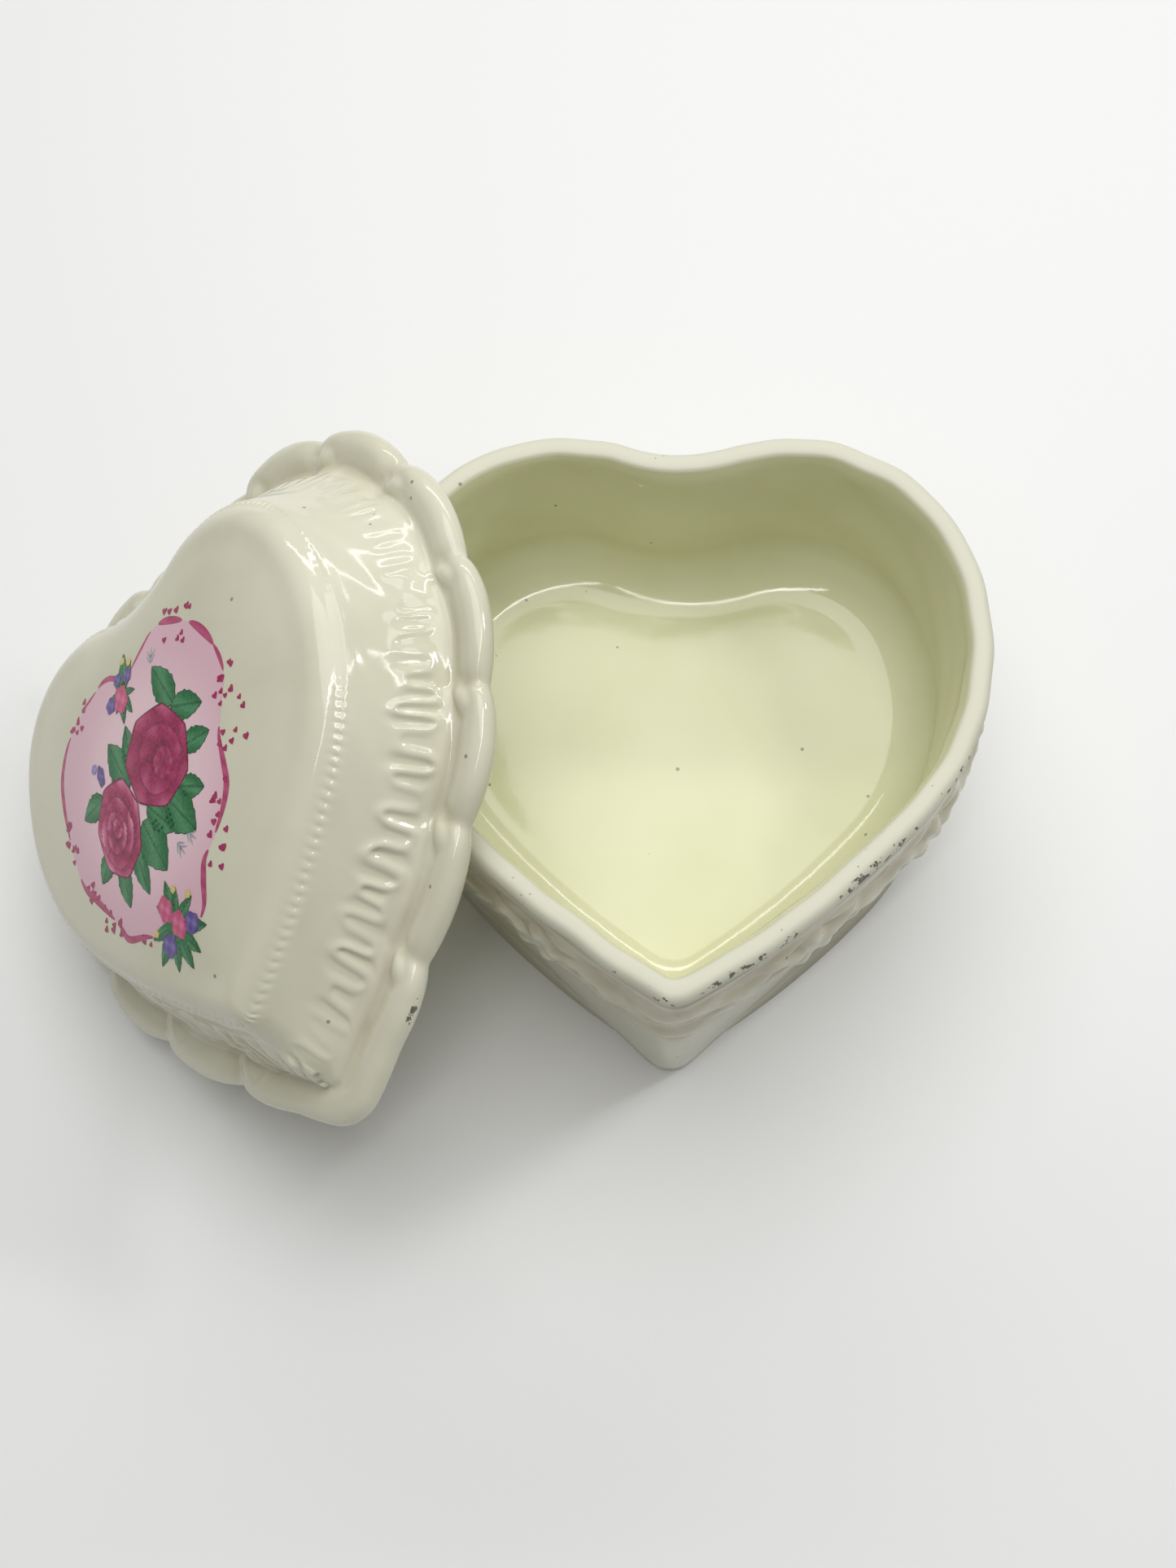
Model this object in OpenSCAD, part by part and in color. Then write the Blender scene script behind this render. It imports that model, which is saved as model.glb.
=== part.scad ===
// Heart-shaped ceramic music box with a lift-off lid and an 18-note wind-up movement.
// Origin: on the surface the box stands on, below the winding key. +Z up, -Y towards the heart's tip.

/* [Heart] */
// Width of the base over its rim
rim_w = 110; // [90:1:130]
// Smallest radius of the outline at the heart's tip
tip_r = 3; // [2:0.5:6]

/* [Base] */
// Height of the base from foot to rim
base_h = 64; // [60:1:75]
// Depth of the bowl below the rim
bowl_depth = 37; // [34:0.5:38]
// Thickness of the wall at the rim
rim_t = 4.8; // [4:0.1:6]
// Thickness of the bowl's floor
floor_t = 3.3; // [3:0.1:4]
// Radius of the curve between wall and floor inside the bowl
floor_fillet = 10; // [6:0.5:12]
// How far the plain plinth stands in from the rim
plinth_in = 2.4; // [1:0.1:4]
// Height of the plain plinth below the relief band
plinth_h = 34; // [28:1:38]
// How far the relief band stands out from the rim
relief_out = 1.6; // [0.5:0.1:2]
// Depth of the recess in the underside that hides the key
key_recess = 7.6; // [7.6:0.1:9]

/* [Lid] */
// How far the scalloped flange reaches out past the rim
flange_out = 8.2; // [6:0.1:10]
// Depth of the scallops in the flange's edge
scallop = 2.2; // [0:0.1:3]
// Scallops along each half of the heart
scallops = 8; // [5:1:9]
// Share of a scallop already past at the notch
scallop_start = 0.28; // [0:0.01:0.99]
// How far the rope line round the dome lies in from the rim
rope_in = 9.3; // [8:0.1:10]
// Height of the rope line above the flange's seat
rope_h = 19.6; // [16:0.2:20]
// Rise of the dome above the rope line
dome_rise = 7; // [4:0.2:9]
// Thickness of the lid's shell
lid_t = 4; // [3:0.1:5]
// Depth of the ring under the lid that drops inside the rim
ring_h = 2.2; // [1.5:0.1:3]
// Where the leaning lid's centre stands
lean_at = [-75.6, -13.2, 41.8];
// How the leaning lid is turned about X, Y and Z
lean_turn = [-4.2, -42.2, 21.9];

/* [Movement] */
// Notes on the comb
notes = 18; // [12:1:18]
// Distance between two notes
note_pitch = 0.84; // [0.84:0.01:0.88]
// Outer radius of the music cylinder
cyl_r = 5.2; // [5:0.1:5.3]
// Turns of the winding key from run down to fully wound
key_turns = 5.25; // [3:0.25:6]

/* [Hidden] */
$fn = 48;
eps = 0.01;

// ---- heart outline: notch, lobe, side, flank and tip arcs, each tangent to the next ----
unit = rim_w / 110;
side_r = 49.6 * unit;
lobe_r = 33.4 * unit;
notch_r = 28.9 * unit;
flank_r = 170 * unit;
lobe_a = 22.7;
flank_a = -42.8;
side_c = [rim_w / 2 - side_r, 0];
lobe_c = side_c + (side_r - lobe_r) * [cos(lobe_a), sin(lobe_a)];
notch_c = [0, lobe_c.y + sqrt(pow(lobe_r + notch_r, 2) - pow(lobe_c.x, 2))];
notch_a = atan2(lobe_c.y - notch_c.y, lobe_c.x);
flank_c = side_c + (side_r - flank_r) * [cos(flank_a), sin(flank_a)];

function tip_rd(d) = max(tip_r, tip_r + d);
function tip_c(d) = [0, flank_c.y - sqrt(pow(flank_r + d - tip_rd(d), 2) - pow(flank_c.x, 2))];
function tip_a(d) = atan2(tip_c(d).y - flank_c.y, -flank_c.x);

// share of the half outline's points that each arc gets, from its length 8 mm out
even_d = 8;
arc_len = [
  (notch_r - even_d) * (notch_a + 90),
  (lobe_r + even_d) * (notch_a + 180 - lobe_a),
  (side_r + even_d) * (lobe_a - flank_a),
  (flank_r + even_d) * (flank_a - tip_a(even_d)),
  tip_rd(even_d) * (tip_a(even_d) + 90)
];
function sum_to(v, n) = n <= 0 ? 0 : v[n - 1] + sum_to(v, n - 1);
arc_end = [for (i = [0:5]) sum_to(arc_len, i) / sum_to(arc_len, 5)];
function arc_pt(c, r, a0, a1, t) = c + r * [cos(a0 + (a1 - a0) * t), sin(a0 + (a1 - a0) * t)];

// point of the right half, u = 0 at the notch and 1 at the tip, moved outward by d
function heart_pt(u, d) =
  let (k = u >= 1 ? 4 : [for (i = [0:4]) if (u >= arc_end[i]) i][len([for (i = [0:4]) if (u >= arc_end[i]) i]) - 1])
  let (t = (u - arc_end[k]) / (arc_end[k + 1] - arc_end[k]))
  k == 0 ? arc_pt(notch_c, notch_r - d, -90, notch_a, t) :
  k == 1 ? arc_pt(lobe_c, lobe_r + d, notch_a + 180, lobe_a, t) :
  k == 2 ? arc_pt(side_c, side_r + d, lobe_a, flank_a, t) :
  k == 3 ? arc_pt(flank_c, flank_r + d, flank_a, tip_a(d), t) :
  arc_pt(tip_c(d), tip_rd(d), tip_a(d), -90, t);

// the closed outline with 2n points; wave is how far the scallops cut in from d
function scallop_in(u) = 1 - pow(abs(sin(180 * (scallops * u + scallop_start))), 0.7);
function heart(d, n, wave = 0) = concat(
  [for (i = [0:n]) heart_pt(i / n, d - wave * scallop_in(i / n))],
  [for (i = [1:n - 1]) let (p = heart_pt(1 - i / n, d - wave * scallop_in(1 - i / n))) [-p.x, p.y]]
);

// a solid through heart rings [outset, height, wave], from the lower cap round the outside to the upper cap
module heart_loft(rings, n) {
  m = 2 * n;
  pts = [for (r = rings) for (p = heart(r[0], n, r[2])) [p.x, p.y, r[1]]];
  walls = [
    for (k = [0:len(rings) - 2]) for (i = [0:m - 1]) let (j = (i + 1) % m)
      for (f = [[k * m + i, k * m + j, k * m + m + j], [k * m + i, k * m + m + j, k * m + m + i]]) f
  ];
  lower = [[for (i = [m - 1:-1:0]) i]];
  upper = [[for (i = [0:m - 1]) (len(rings) - 1) * m + i]];
  polyhedron(points = pts, faces = concat(upper, walls, lower), convexity = 8);
}

// ---- levels of the base ----
floor_z = base_h - bowl_depth;
roof_z = floor_z - floor_t;
cover_t = 1.2;
cover_top = key_recess + cover_t;
ledge_in = 6;
hollow_in = 8;
bowl_steps = 5;
base_n = 44;
foot_trim = 0.8;

base_rings = concat(
  [
    [-hollow_in - 3, roof_z, 0],
    [-hollow_in - 0.6, roof_z - 2, 0],
    [-hollow_in, cover_top, 0],
    [-ledge_in, cover_top, 0],
    [-ledge_in, -foot_trim, 0],
    [-plinth_in - 2, -foot_trim, 0],
    [-plinth_in - 0.4, foot_trim, 0],
    [-plinth_in, plinth_h, 0],
    [relief_out, plinth_h + 3, 0],
    [relief_out, base_h - 14, 0],
    [-0.4, base_h - 5.5, 0],
    [0, base_h - 4, 0],
    [0, base_h - 2, 0],
    [-0.8, base_h - 0.5, 0],
    [-1.9, base_h, 0],
    [-rim_t + 1.4, base_h, 0],
    [-rim_t, base_h - 1.4, 0]
  ],
  [
    for (i = [0:bowl_steps]) let (a = 90 * i / bowl_steps)
      [-rim_t - 1.4 - floor_fillet * (1 - cos(a)), floor_z + floor_fillet * (1 - sin(a)), 0]
  ]
);

// the foot is ground flat where the box stands
module base_bowl() {
  color("#d6d3b7") difference() {
    heart_loft(base_rings, base_n);
    translate([-rim_w, -rim_w, -10]) cube([2 * rim_w, 2 * rim_w, 10]);
  }
}

// ---- lid, drawn level with its seat at z = 0 and then leant against the base ----
lid_n = 56;
dome_run = 22;
ring_t = 2.4;
function dome_z(d) = rope_h + dome_rise * sqrt(1 - pow(1 - min(1, (-rope_in - d) / dome_run), 2));
dome_ds = [-rope_in - dome_run, -rope_in - 14, -rope_in - 8, -rope_in - 4, -rope_in - 1.6, -rope_in - 0.4];

lid_rings = concat(
  [
    [-rope_in - dome_run, rope_h + dome_rise - lid_t, 0],
    [-rope_in - 10, rope_h + dome_rise - lid_t - 1.8, 0],
    [-rope_in - 5, rope_h - 2.4, 0],
    [-rope_in - 2.6, rope_h - 8, 0],
    [-rim_t - 1.7 - ring_t, 2, 0],
    [-rim_t - 1.4 - ring_t, -ring_h, 0],
    [-rim_t - 1.4, -ring_h, 0],
    [-rim_t - 1.1, 0, 0],
    [flange_out - 1.4, 0, scallop],
    [flange_out - 0.3, 0.8, scallop],
    [flange_out, 2.2, scallop],
    [flange_out - 0.6, 3.6, scallop],
    [flange_out - 2.2, 4.4, scallop],
    [flange_out - 5, 4.2, scallop * 0.4],
    [1, 5.2, 0],
    [-2.7, 8.6, 0],
    [-5.8, 13.4, 0],
    [-rope_in + 1.4, rope_h - 1.8, 0],
    [-rope_in + 0.5, rope_h - 0.2, 0]
  ],
  [for (i = [5:-1:0]) [dome_ds[i], dome_z(dome_ds[i]), 0]]
);

module lid_shell() {
  color("#cccab1") translate(lean_at) rotate(lean_turn) heart_loft(lid_rings, lid_n);
}

// ---- bottom cover and the screws that hold the movement on it ----
cover_gap = 0.3;
bed_t = 1.4;
bed_top = cover_top + bed_t;
cover_screw_at = [[-12.4, -16], [-12.4, 16], [34, -14]];
cover_screw_r = 0.9;
cover_screw_hole_r = 1.1;
cover_screw_head = [1.8, 0.8];
cover_screw_l = cover_t + bed_t + 1.8;
key_hole_r = 3.2;

module bottom_cover() {
  color("#a89c82") difference() {
    translate([0, 0, key_recess]) linear_extrude(cover_t) polygon(heart(-ledge_in - cover_gap, base_n));
    translate([0, 0, key_recess - 1]) cylinder(r = key_hole_r, h = cover_t + 2);
    for (p = cover_screw_at) translate([p.x, p.y, key_recess - 1]) cylinder(r = cover_screw_hole_r, h = cover_t + 2);
  }
}

// a slotted cheese-head screw, its head's seat at z = 0 and its shank going down
module screw(shank_r, shank_l, head_r, head_h) {
  difference() {
    union() {
      translate([0, 0, -shank_l]) cylinder(r = shank_r, h = shank_l + eps);
      cylinder(r = head_r, h = head_h);
    }
    translate([-head_r - 1, -head_r * 0.14, head_h * 0.55]) cube([2 * head_r + 2, head_r * 0.28, head_h]);
  }
}

module movement_screws() {
  color("silver") for (p = cover_screw_at)
    translate([p.x, p.y, key_recess]) rotate([180, 0, 0])
      screw(cover_screw_r, cover_screw_l, cover_screw_head[0], cover_screw_head[1]);
}

// ---- winding: key, arbor, ratchet and one-way click ----
arbor_r = 1.6;
tail_r = 1.2;
tail_z = [3, 7.6];
key_top = key_recess - 0.3;
key_foot = 0.9;
key_t = 1.3;
wing_r = 4.2;
wing_x = 6.8;
wing_z = 3.4;
wing_hole_r = 1.6;
hub_r = 2.6;

module winding_key() {
  color("#c9a94e") difference() {
    union() {
      translate([0, 0, key_foot + 0.6]) cylinder(r = hub_r, h = key_top - key_foot - 0.6);
      intersection() {
        rotate([90, 0, 0]) linear_extrude(key_t, center = true) {
          for (s = [-1, 1]) translate([s * wing_x, wing_z]) circle(r = wing_r);
          translate([-wing_x, key_foot]) square([2 * wing_x, wing_r]);
        }
        translate([-14, -2, key_foot]) cube([28, 4, key_top - key_foot - 0.9]);
      }
    }
    for (s = [-1, 1]) translate([s * wing_x, 0, wing_z]) rotate([90, 0, 0])
      cylinder(r = wing_hole_r, h = 4, center = true);
    translate([0, 0, tail_z[0]]) cylinder(r = tail_r, h = key_recess);
  }
}

wheel_z = bed_top + 0.4;
wheel_t = 0.8;
ratchet_z = wheel_z + wheel_t + 0.15;
ratchet_t = 0.7;
house_foot_z = wheel_z + wheel_t + 1.5;
house_top_z = roof_z - 2.3;
house_t = 0.8;
top_pivot_r = 1.1;

module spring_arbor() {
  color("silver") {
    translate([0, 0, tail_z[0]]) cylinder(r = tail_r, h = tail_z[1] - tail_z[0]);
    translate([0, 0, tail_z[1] - eps]) cylinder(r = arbor_r, h = house_top_z - house_t - 0.4 - tail_z[1]);
    translate([0, 0, tail_z[1] + 0.4]) cylinder(r = top_pivot_r, h = house_top_z + 0.1 - tail_z[1]);
  }
}

// saw teeth that let the key turn one way only
ratchet_teeth = 12;
ratchet_r = 3.9;
tooth_h = 0.9;
module ratchet_wheel() {
  step = 360 / ratchet_teeth;
  color("#b9bcc0") translate([0, 0, ratchet_z]) difference() {
    linear_extrude(ratchet_t) polygon([
      for (i = [0:ratchet_teeth - 1]) each [
        ratchet_r * [cos(i * step), sin(i * step)],
        (ratchet_r - tooth_h) * [cos(i * step + 4), sin(i * step + 4)]
      ]
    ]);
    translate([0, 0, -1]) cylinder(r = arbor_r, h = 3);
  }
}

// the click: a thin pawl on the drive wheel that drops behind a ratchet tooth
click_at = [-5.6, -5.6];
click_turn = 62;
click_blade = [5, 0.5, 0.6];
module click_spring() {
  color("#8f949a") translate([0, 0, wheel_z + wheel_t]) difference() {
    union() {
      translate(click_at) cylinder(r = 1.3, h = 0.8);
      translate(click_at) rotate([0, 0, click_turn]) translate([0, -click_blade.y / 2, 0.15]) cube(click_blade);
    }
    translate([click_at.x, click_at.y, -1]) cylinder(r = 0.5, h = 3);
    translate([0, 0, -1]) cylinder(r = ratchet_r + 0.15, h = 3);
  }
}

// ---- drive wheel: a crown wheel, its teeth standing up along the rim ----
drive_teeth = 48;
pinion_teeth = 20;
drive_r = 12.5;
drive_r_in = 9.9;
cyl_z = bed_top + 6.7;
pinion_r = 4.71;
crown_h = 1.1;

// round windows that lighten the wheel
windows = 5;
window_at = 6.9;
window_r = 1.9;

module drive_wheel() {
  color("#c7a24b") {
    translate([0, 0, wheel_z]) difference() {
      cylinder(r = drive_r, h = wheel_t);
      translate([0, 0, -1]) cylinder(r = arbor_r + 0.05, h = 3);
      for (i = [1:windows]) rotate([0, 0, 360 / windows * i + 12]) translate([window_at, 0, -1]) cylinder(r = window_r, h = 3);
    }
    for (i = [0:drive_teeth - 1]) rotate([0, 0, 360 / drive_teeth * (i + 0.5)])
      translate([drive_r_in, -0.26, wheel_z + wheel_t - eps]) cube([drive_r - drive_r_in - 0.05, 0.52, crown_h]);
  }
}

// ---- spring housing over the drive wheel, with the coiled mainspring inside ----
house_r = 9.2;
leg_r = 13.9;
leg_w = 4;
module spring_housing() {
  color("#cfd2d4") difference() {
    union() {
      translate([0, 0, house_foot_z]) cylinder(r = house_r, h = house_top_z - house_foot_z);
      for (a = [90, 180, 270]) rotate([0, 0, a]) {
        translate([house_r - 0.6, -leg_w / 2, house_top_z - 2.6]) cube([leg_r - house_r + 0.6, leg_w, 0.9]);
        translate([leg_r - 0.9, -leg_w / 2, bed_top]) cube([0.9, leg_w, house_top_z - 1.7 - bed_top]);
      }
    }
    translate([0, 0, house_foot_z - 1]) cylinder(r = house_r - house_t, h = house_top_z - house_t - house_foot_z + 1);
    translate([0, 0, house_top_z - 2]) cylinder(r = top_pivot_r + 0.05, h = 3);
  }
}

spring_coils = 5;
spring_t = 0.35;
spring_r0 = 2.1;
spring_r1 = 8.2;
module mainspring() {
  steps = 36 * spring_coils;
  function at(i) = spring_r0 + (spring_r1 - spring_r0) * i / steps;
  function pt(i, r) = r * [cos(10 * i), sin(10 * i)];
  color("#5d6673") translate([0, 0, house_foot_z + 0.6]) linear_extrude(house_top_z - house_foot_z - house_t - 1)
    polygon(concat(
      [for (i = [0:steps]) pt(i, at(i) + spring_t / 2)],
      [for (i = [steps:-1:0]) pt(i, at(i) - spring_t / 2)]
    ));
}

// ---- places of the movement's parts on the bedplate ----
bed_x = [-15.6, 37.4];
bed_y = [-19.6, 23];
cyl_x = [15.2, 31.2];
tune_x = (cyl_x[0] + cyl_x[1] - notes * note_pitch) / 2;
pin_r = cyl_r + 0.55;
comb_z = cyl_z - 0.5;
comb_t = 1.1;
comb_y = [-19.4, -12.6];
comb_screw_at = [[cyl_x[0] + 4, -16.4], [cyl_x[1] - 4, -16.4]];
bracket_x = [13.2, 34.9];
bracket_t = 1.2;
ear_t = 0.9;
drive_ears = [[bracket_x[0], 6.4, 3.2, 3.2], [bracket_x[0], -9.6, 3.2, 3.2]];
bracket_screw_at = [[15, 8], [15, -8], [33.3, -5.6], [33.3, -8.3]];
gov_x = [30.3, 34.9];
gov_t = 0.8;
gov_foot_y = [15.8, 22.8];
gov_foot_x = [27.4, 36.8];
governor_screw_at = [[29, 18.4], [35.3, 18.4]];
small_screw_r = 0.6;

module bedplate() {
  color("#b4b6b2") difference() {
    union() {
      translate([bed_x[0], bed_y[0], cover_top]) cube([bed_x[1] - bed_x[0], bed_y[1] - bed_y[0], bed_t]);
      translate([cyl_x[0], bed_y[0], cover_top]) cube([cyl_x[1] - cyl_x[0], 6.4, comb_z - cover_top]);
      for (p = cover_screw_at) translate([p.x, p.y, cover_top]) cylinder(r = 2.2, h = bed_t + 1.4);
    }
    translate([0, 0, cover_top - 1]) cylinder(r = arbor_r + 0.05, h = bed_t + 2);
    for (p = cover_screw_at) translate([p.x, p.y, cover_top - 1]) cylinder(r = cover_screw_r, h = bed_t + 4);
    for (p = comb_screw_at) translate([p.x, p.y, comb_z - 3]) cylinder(r = 0.7, h = 4);
    for (p = concat(bracket_screw_at, governor_screw_at))
      translate([p.x, p.y, cover_top - 1]) cylinder(r = small_screw_r, h = bed_t + 2);
  }
}

// ---- cylinder line, its axis along X ----
// a shape drawn in XY is laid with its own Z along +X, its own X along +Y and its own Y along +Z
module along_x(x, y = 0, z = cyl_z) {
  translate([x, y, z]) rotate([90, 0, 90]) children();
}

cyl_arbor_r = 0.8;
bearing_gap = 0.05;

module bracket_screws() {
  color("silver") for (p = bracket_screw_at)
    translate([p.x, p.y, bed_top + ear_t]) screw(small_screw_r, ear_t + 1.2, 1.1, 0.7);
}

module drive_end_bracket() {
  color("#c7a24b") difference() {
    union() {
      translate([bracket_x[0], -2.6, bed_top]) cube([bracket_t, 5.2, cyl_z - bed_top]);
      along_x(bracket_x[0]) cylinder(r = 2.6, h = bracket_t);
      translate([bracket_x[0], -9.6, bed_top]) cube([bracket_t, 19.2, ear_t]);
      for (e = drive_ears) translate([e[0], e[1], bed_top]) cube([e[2], e[3], ear_t]);
    }
    along_x(bracket_x[0] - 1) cylinder(r = cyl_arbor_r + bearing_gap, h = 4);
    for (i = [0, 1]) translate([bracket_screw_at[i].x, bracket_screw_at[i].y, bed_top - 1])
      cylinder(r = small_screw_r, h = 4);
  }
}

module governor_end_bracket() {
  color("#c7a24b") difference() {
    union() {
      translate([bracket_x[1], -2.6, bed_top]) cube([bracket_t, 5.2, cyl_z - bed_top]);
      along_x(bracket_x[1]) cylinder(r = 2.6, h = bracket_t);
      translate([bracket_x[1], -9.6, bed_top]) cube([bracket_t, 10, ear_t]);
      translate([bracket_x[1] - 2.9, -9.6, bed_top]) cube([3, 5.6, ear_t]);
    }
    along_x(bracket_x[1] - 1) cylinder(r = cyl_arbor_r + bearing_gap, h = 4);
    for (i = [2, 3]) translate([bracket_screw_at[i].x, bracket_screw_at[i].y, bed_top - 1])
      cylinder(r = small_screw_r, h = 4);
  }
}

module cylinder_arbor() {
  color("silver") along_x(9.8) cylinder(r = cyl_arbor_r, h = bracket_x[1] + bracket_t + 0.3 - 9.8);
}

cyl_t = 0.6;
module music_cylinder() {
  color("#c9a94e") difference() {
    along_x(cyl_x[0]) cylinder(r = cyl_r, h = cyl_x[1] - cyl_x[0]);
    along_x(cyl_x[0] - 1) cylinder(r = cyl_r - cyl_t, h = cyl_x[1] - cyl_x[0] + 2);
  }
}

module cylinder_ends() {
  color("#b8963f") for (x = [cyl_x[0], cyl_x[1] - 1]) difference() {
    along_x(x) cylinder(r = cyl_r - cyl_t, h = 1);
    along_x(x - 1) cylinder(r = cyl_arbor_r, h = 3);
  }
}

pins_per_note = 4;
module cylinder_pins() {
  color("#d8d8d8") for (k = [0:notes - 1]) for (j = [0:pins_per_note - 1])
    translate([tune_x + (k + 0.5) * note_pitch, 0, cyl_z])
      rotate([83 * k + 90 * j + 17 * ((k * j) % 4), 0, 0])
        translate([0, 0, cyl_r - cyl_t / 2]) cylinder(r = 0.16, h = pin_r - cyl_r + cyl_t / 2, $fn = 16);
}

// spur wheel with straight-sided teeth, tooth 0 centred on angle at
module gear(n, module_, at, h, width = 0.40) {
  r = n * module_ / 2;
  step = 360 / n;
  root = r - 1.15 * module_;
  tip = r + 0.85 * module_;
  linear_extrude(h) polygon([
    for (i = [0:n - 1]) let (a = at + i * step) each [
      root * [cos(a - step * (width / 2 + 0.11)), sin(a - step * (width / 2 + 0.11))],
      tip * [cos(a - step * width * 0.24), sin(a - step * width * 0.24)],
      tip * [cos(a + step * width * 0.24), sin(a + step * width * 0.24)],
      root * [cos(a + step * (width / 2 + 0.11)), sin(a + step * (width / 2 + 0.11))]
    ]
  ]);
}

// round windows that lighten a wheel
module windows(n, at_r, r) {
  for (i = [0:n - 1]) rotate([0, 0, 360 / n * i]) translate([at_r, 0, -1]) cylinder(r = r, h = 4);
}

pinion_x = [10.1, 12.4];
module cylinder_pinion() {
  color("silver") difference() {
    along_x(pinion_x[0]) gear(pinion_teeth, 2 * pinion_r / pinion_teeth, -90, pinion_x[1] - pinion_x[0]);
    along_x(pinion_x[0] - 1) cylinder(r = cyl_arbor_r, h = 5);
  }
}

mod = 0.3;
cyl_wheel_teeth = 38;
leaf_teeth = 10;
gov_wheel_teeth = 36;
worm_wheel_teeth = 20;
mesh_gap = 0.08;
cyl_wheel_x = 31.8;
gov_y = (cyl_wheel_teeth + leaf_teeth) * mod / 2 + mesh_gap;
gov_z = cyl_z;
gov_down = 25;
worm_wheel_d = (gov_wheel_teeth + leaf_teeth) * mod / 2 + mesh_gap;
worm_wheel_y = gov_y + worm_wheel_d * cos(gov_down);
worm_wheel_z = gov_z - worm_wheel_d * sin(gov_down);
worm_r = 1.15;
worm_pitch = mod * PI;
fan_x = cyl_wheel_x + 0.4;
fan_y = worm_wheel_y + worm_wheel_teeth * mod / 2 + worm_r + 0.04;

module cylinder_wheel() {
  color("#c9a94e") along_x(cyl_wheel_x) difference() {
    gear(cyl_wheel_teeth, mod, 0, 0.8);
    translate([0, 0, -1]) cylinder(r = cyl_arbor_r, h = 3);
    windows(5, 3.1, 1.1);
  }
}

// ---- comb ----
tooth_w = 0.56;
tooth_t = 0.5;
tooth_tip = -(pin_r + 0.07);
module comb() {
  color("#a9adb3") {
    difference() {
      translate([cyl_x[0] + 0.3, comb_y[0], comb_z]) cube([cyl_x[1] - cyl_x[0] - 0.6, comb_y[1] - comb_y[0], comb_t]);
      for (p = comb_screw_at) translate([p.x, p.y, comb_z - 1]) cylinder(r = 0.8, h = 3);
    }
    for (k = [0:notes - 1])
      translate([tune_x + (k + 0.5) * note_pitch - tooth_w / 2, comb_y[1] - 0.2, comb_z + 0.3])
        cube([tooth_w, tooth_tip - comb_y[1] + 0.2, tooth_t]);
  }
}

weights = 8;
module bass_weights() {
  color("#6f7277") for (k = [0:weights - 1])
    translate([tune_x + (k + 0.5) * note_pitch - 0.24, tooth_tip - 3.2, comb_z + 0.3 - 2.2 + 0.2 * k])
      cube([0.48, 2.3, 2.2 - 0.2 * k]);
}

module comb_screws() {
  color("silver") for (p = comb_screw_at) translate([p.x, p.y, comb_z + comb_t]) screw(0.7, comb_t + 2.6, 1.4, 0.9);
}

// ---- governor: two wheels, a worm and an air brake that hold the speed ----
gov_arbor_r = 0.45;
gov_top = gov_z + 1.9;
arm_z = roof_z - 1.9;
module governor_frame() {
  module cheek(x, y0) {
    along_x(x, 0, 0) linear_extrude(gov_t) polygon([
      [y0, bed_top], [gov_foot_y[0] + 0.6, bed_top], [gov_foot_y[0] + 0.6, 15.4],
      [worm_wheel_y + 1, worm_wheel_z + 2.6], [gov_y + 2, gov_top], [y0, gov_top]
    ]);
  }
  color("#b4b6b2") difference() {
    union() {
      cheek(gov_x[0], pin_r + 0.45);
      cheek(gov_x[1], 4.2);
      translate([gov_foot_x[0], gov_foot_y[0], bed_top])
        cube([gov_foot_x[1] - gov_foot_x[0], gov_foot_y[1] - gov_foot_y[0], ear_t]);
      translate([fan_x - 1.6, gov_foot_y[1] - 1.1, bed_top]) cube([3.2, 1.1, arm_z + 0.8 - bed_top]);
      translate([fan_x - 1.6, fan_y - 1.4, arm_z]) cube([3.2, gov_foot_y[1] - fan_y + 1.4, 0.8]);
    }
    for (x = gov_x) {
      along_x(x - 1, gov_y, gov_z) cylinder(r = gov_arbor_r + bearing_gap, h = 3);
      along_x(x - 1, worm_wheel_y, worm_wheel_z) cylinder(r = gov_arbor_r + bearing_gap, h = 3);
    }
    translate([fan_x, fan_y, bed_top + 0.2]) cylinder(r = 0.35 + bearing_gap, h = 2);
    translate([fan_x, fan_y, arm_z - 1]) cylinder(r = 0.35 + bearing_gap, h = 3);
    for (p = governor_screw_at) translate([p.x, p.y, bed_top - 1]) cylinder(r = small_screw_r, h = 4);
  }
}

module governor_screws() {
  color("silver") for (p = governor_screw_at)
    translate([p.x, p.y, bed_top + ear_t]) screw(small_screw_r, ear_t + 1.2, 1.1, 0.7);
}

module governor_wheel() {
  color("#c9a94e") {
    along_x(gov_x[0] + 0.1, gov_y, gov_z) cylinder(r = gov_arbor_r, h = gov_x[1] + gov_t - gov_x[0]);
    along_x(cyl_wheel_x - 0.1, gov_y, gov_z) gear(leaf_teeth, mod, 180 + 180 / leaf_teeth, 1);
    along_x(33.4, gov_y, gov_z) difference() {
      gear(gov_wheel_teeth, mod, -gov_down, 0.6);
      windows(5, 3, 1);
    }
  }
}

module worm_wheel() {
  color("#c9a94e") {
    along_x(gov_x[0] + 0.1, worm_wheel_y, worm_wheel_z) cylinder(r = gov_arbor_r, h = gov_x[1] + gov_t - gov_x[0]);
    along_x(33.2, worm_wheel_y, worm_wheel_z) gear(leaf_teeth, mod, 180 - gov_down + 180 / leaf_teeth, 1);
    along_x(fan_x - 0.35, worm_wheel_y, worm_wheel_z) gear(worm_wheel_teeth, mod, 0, 0.7, 0.36);
  }
}

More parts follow.
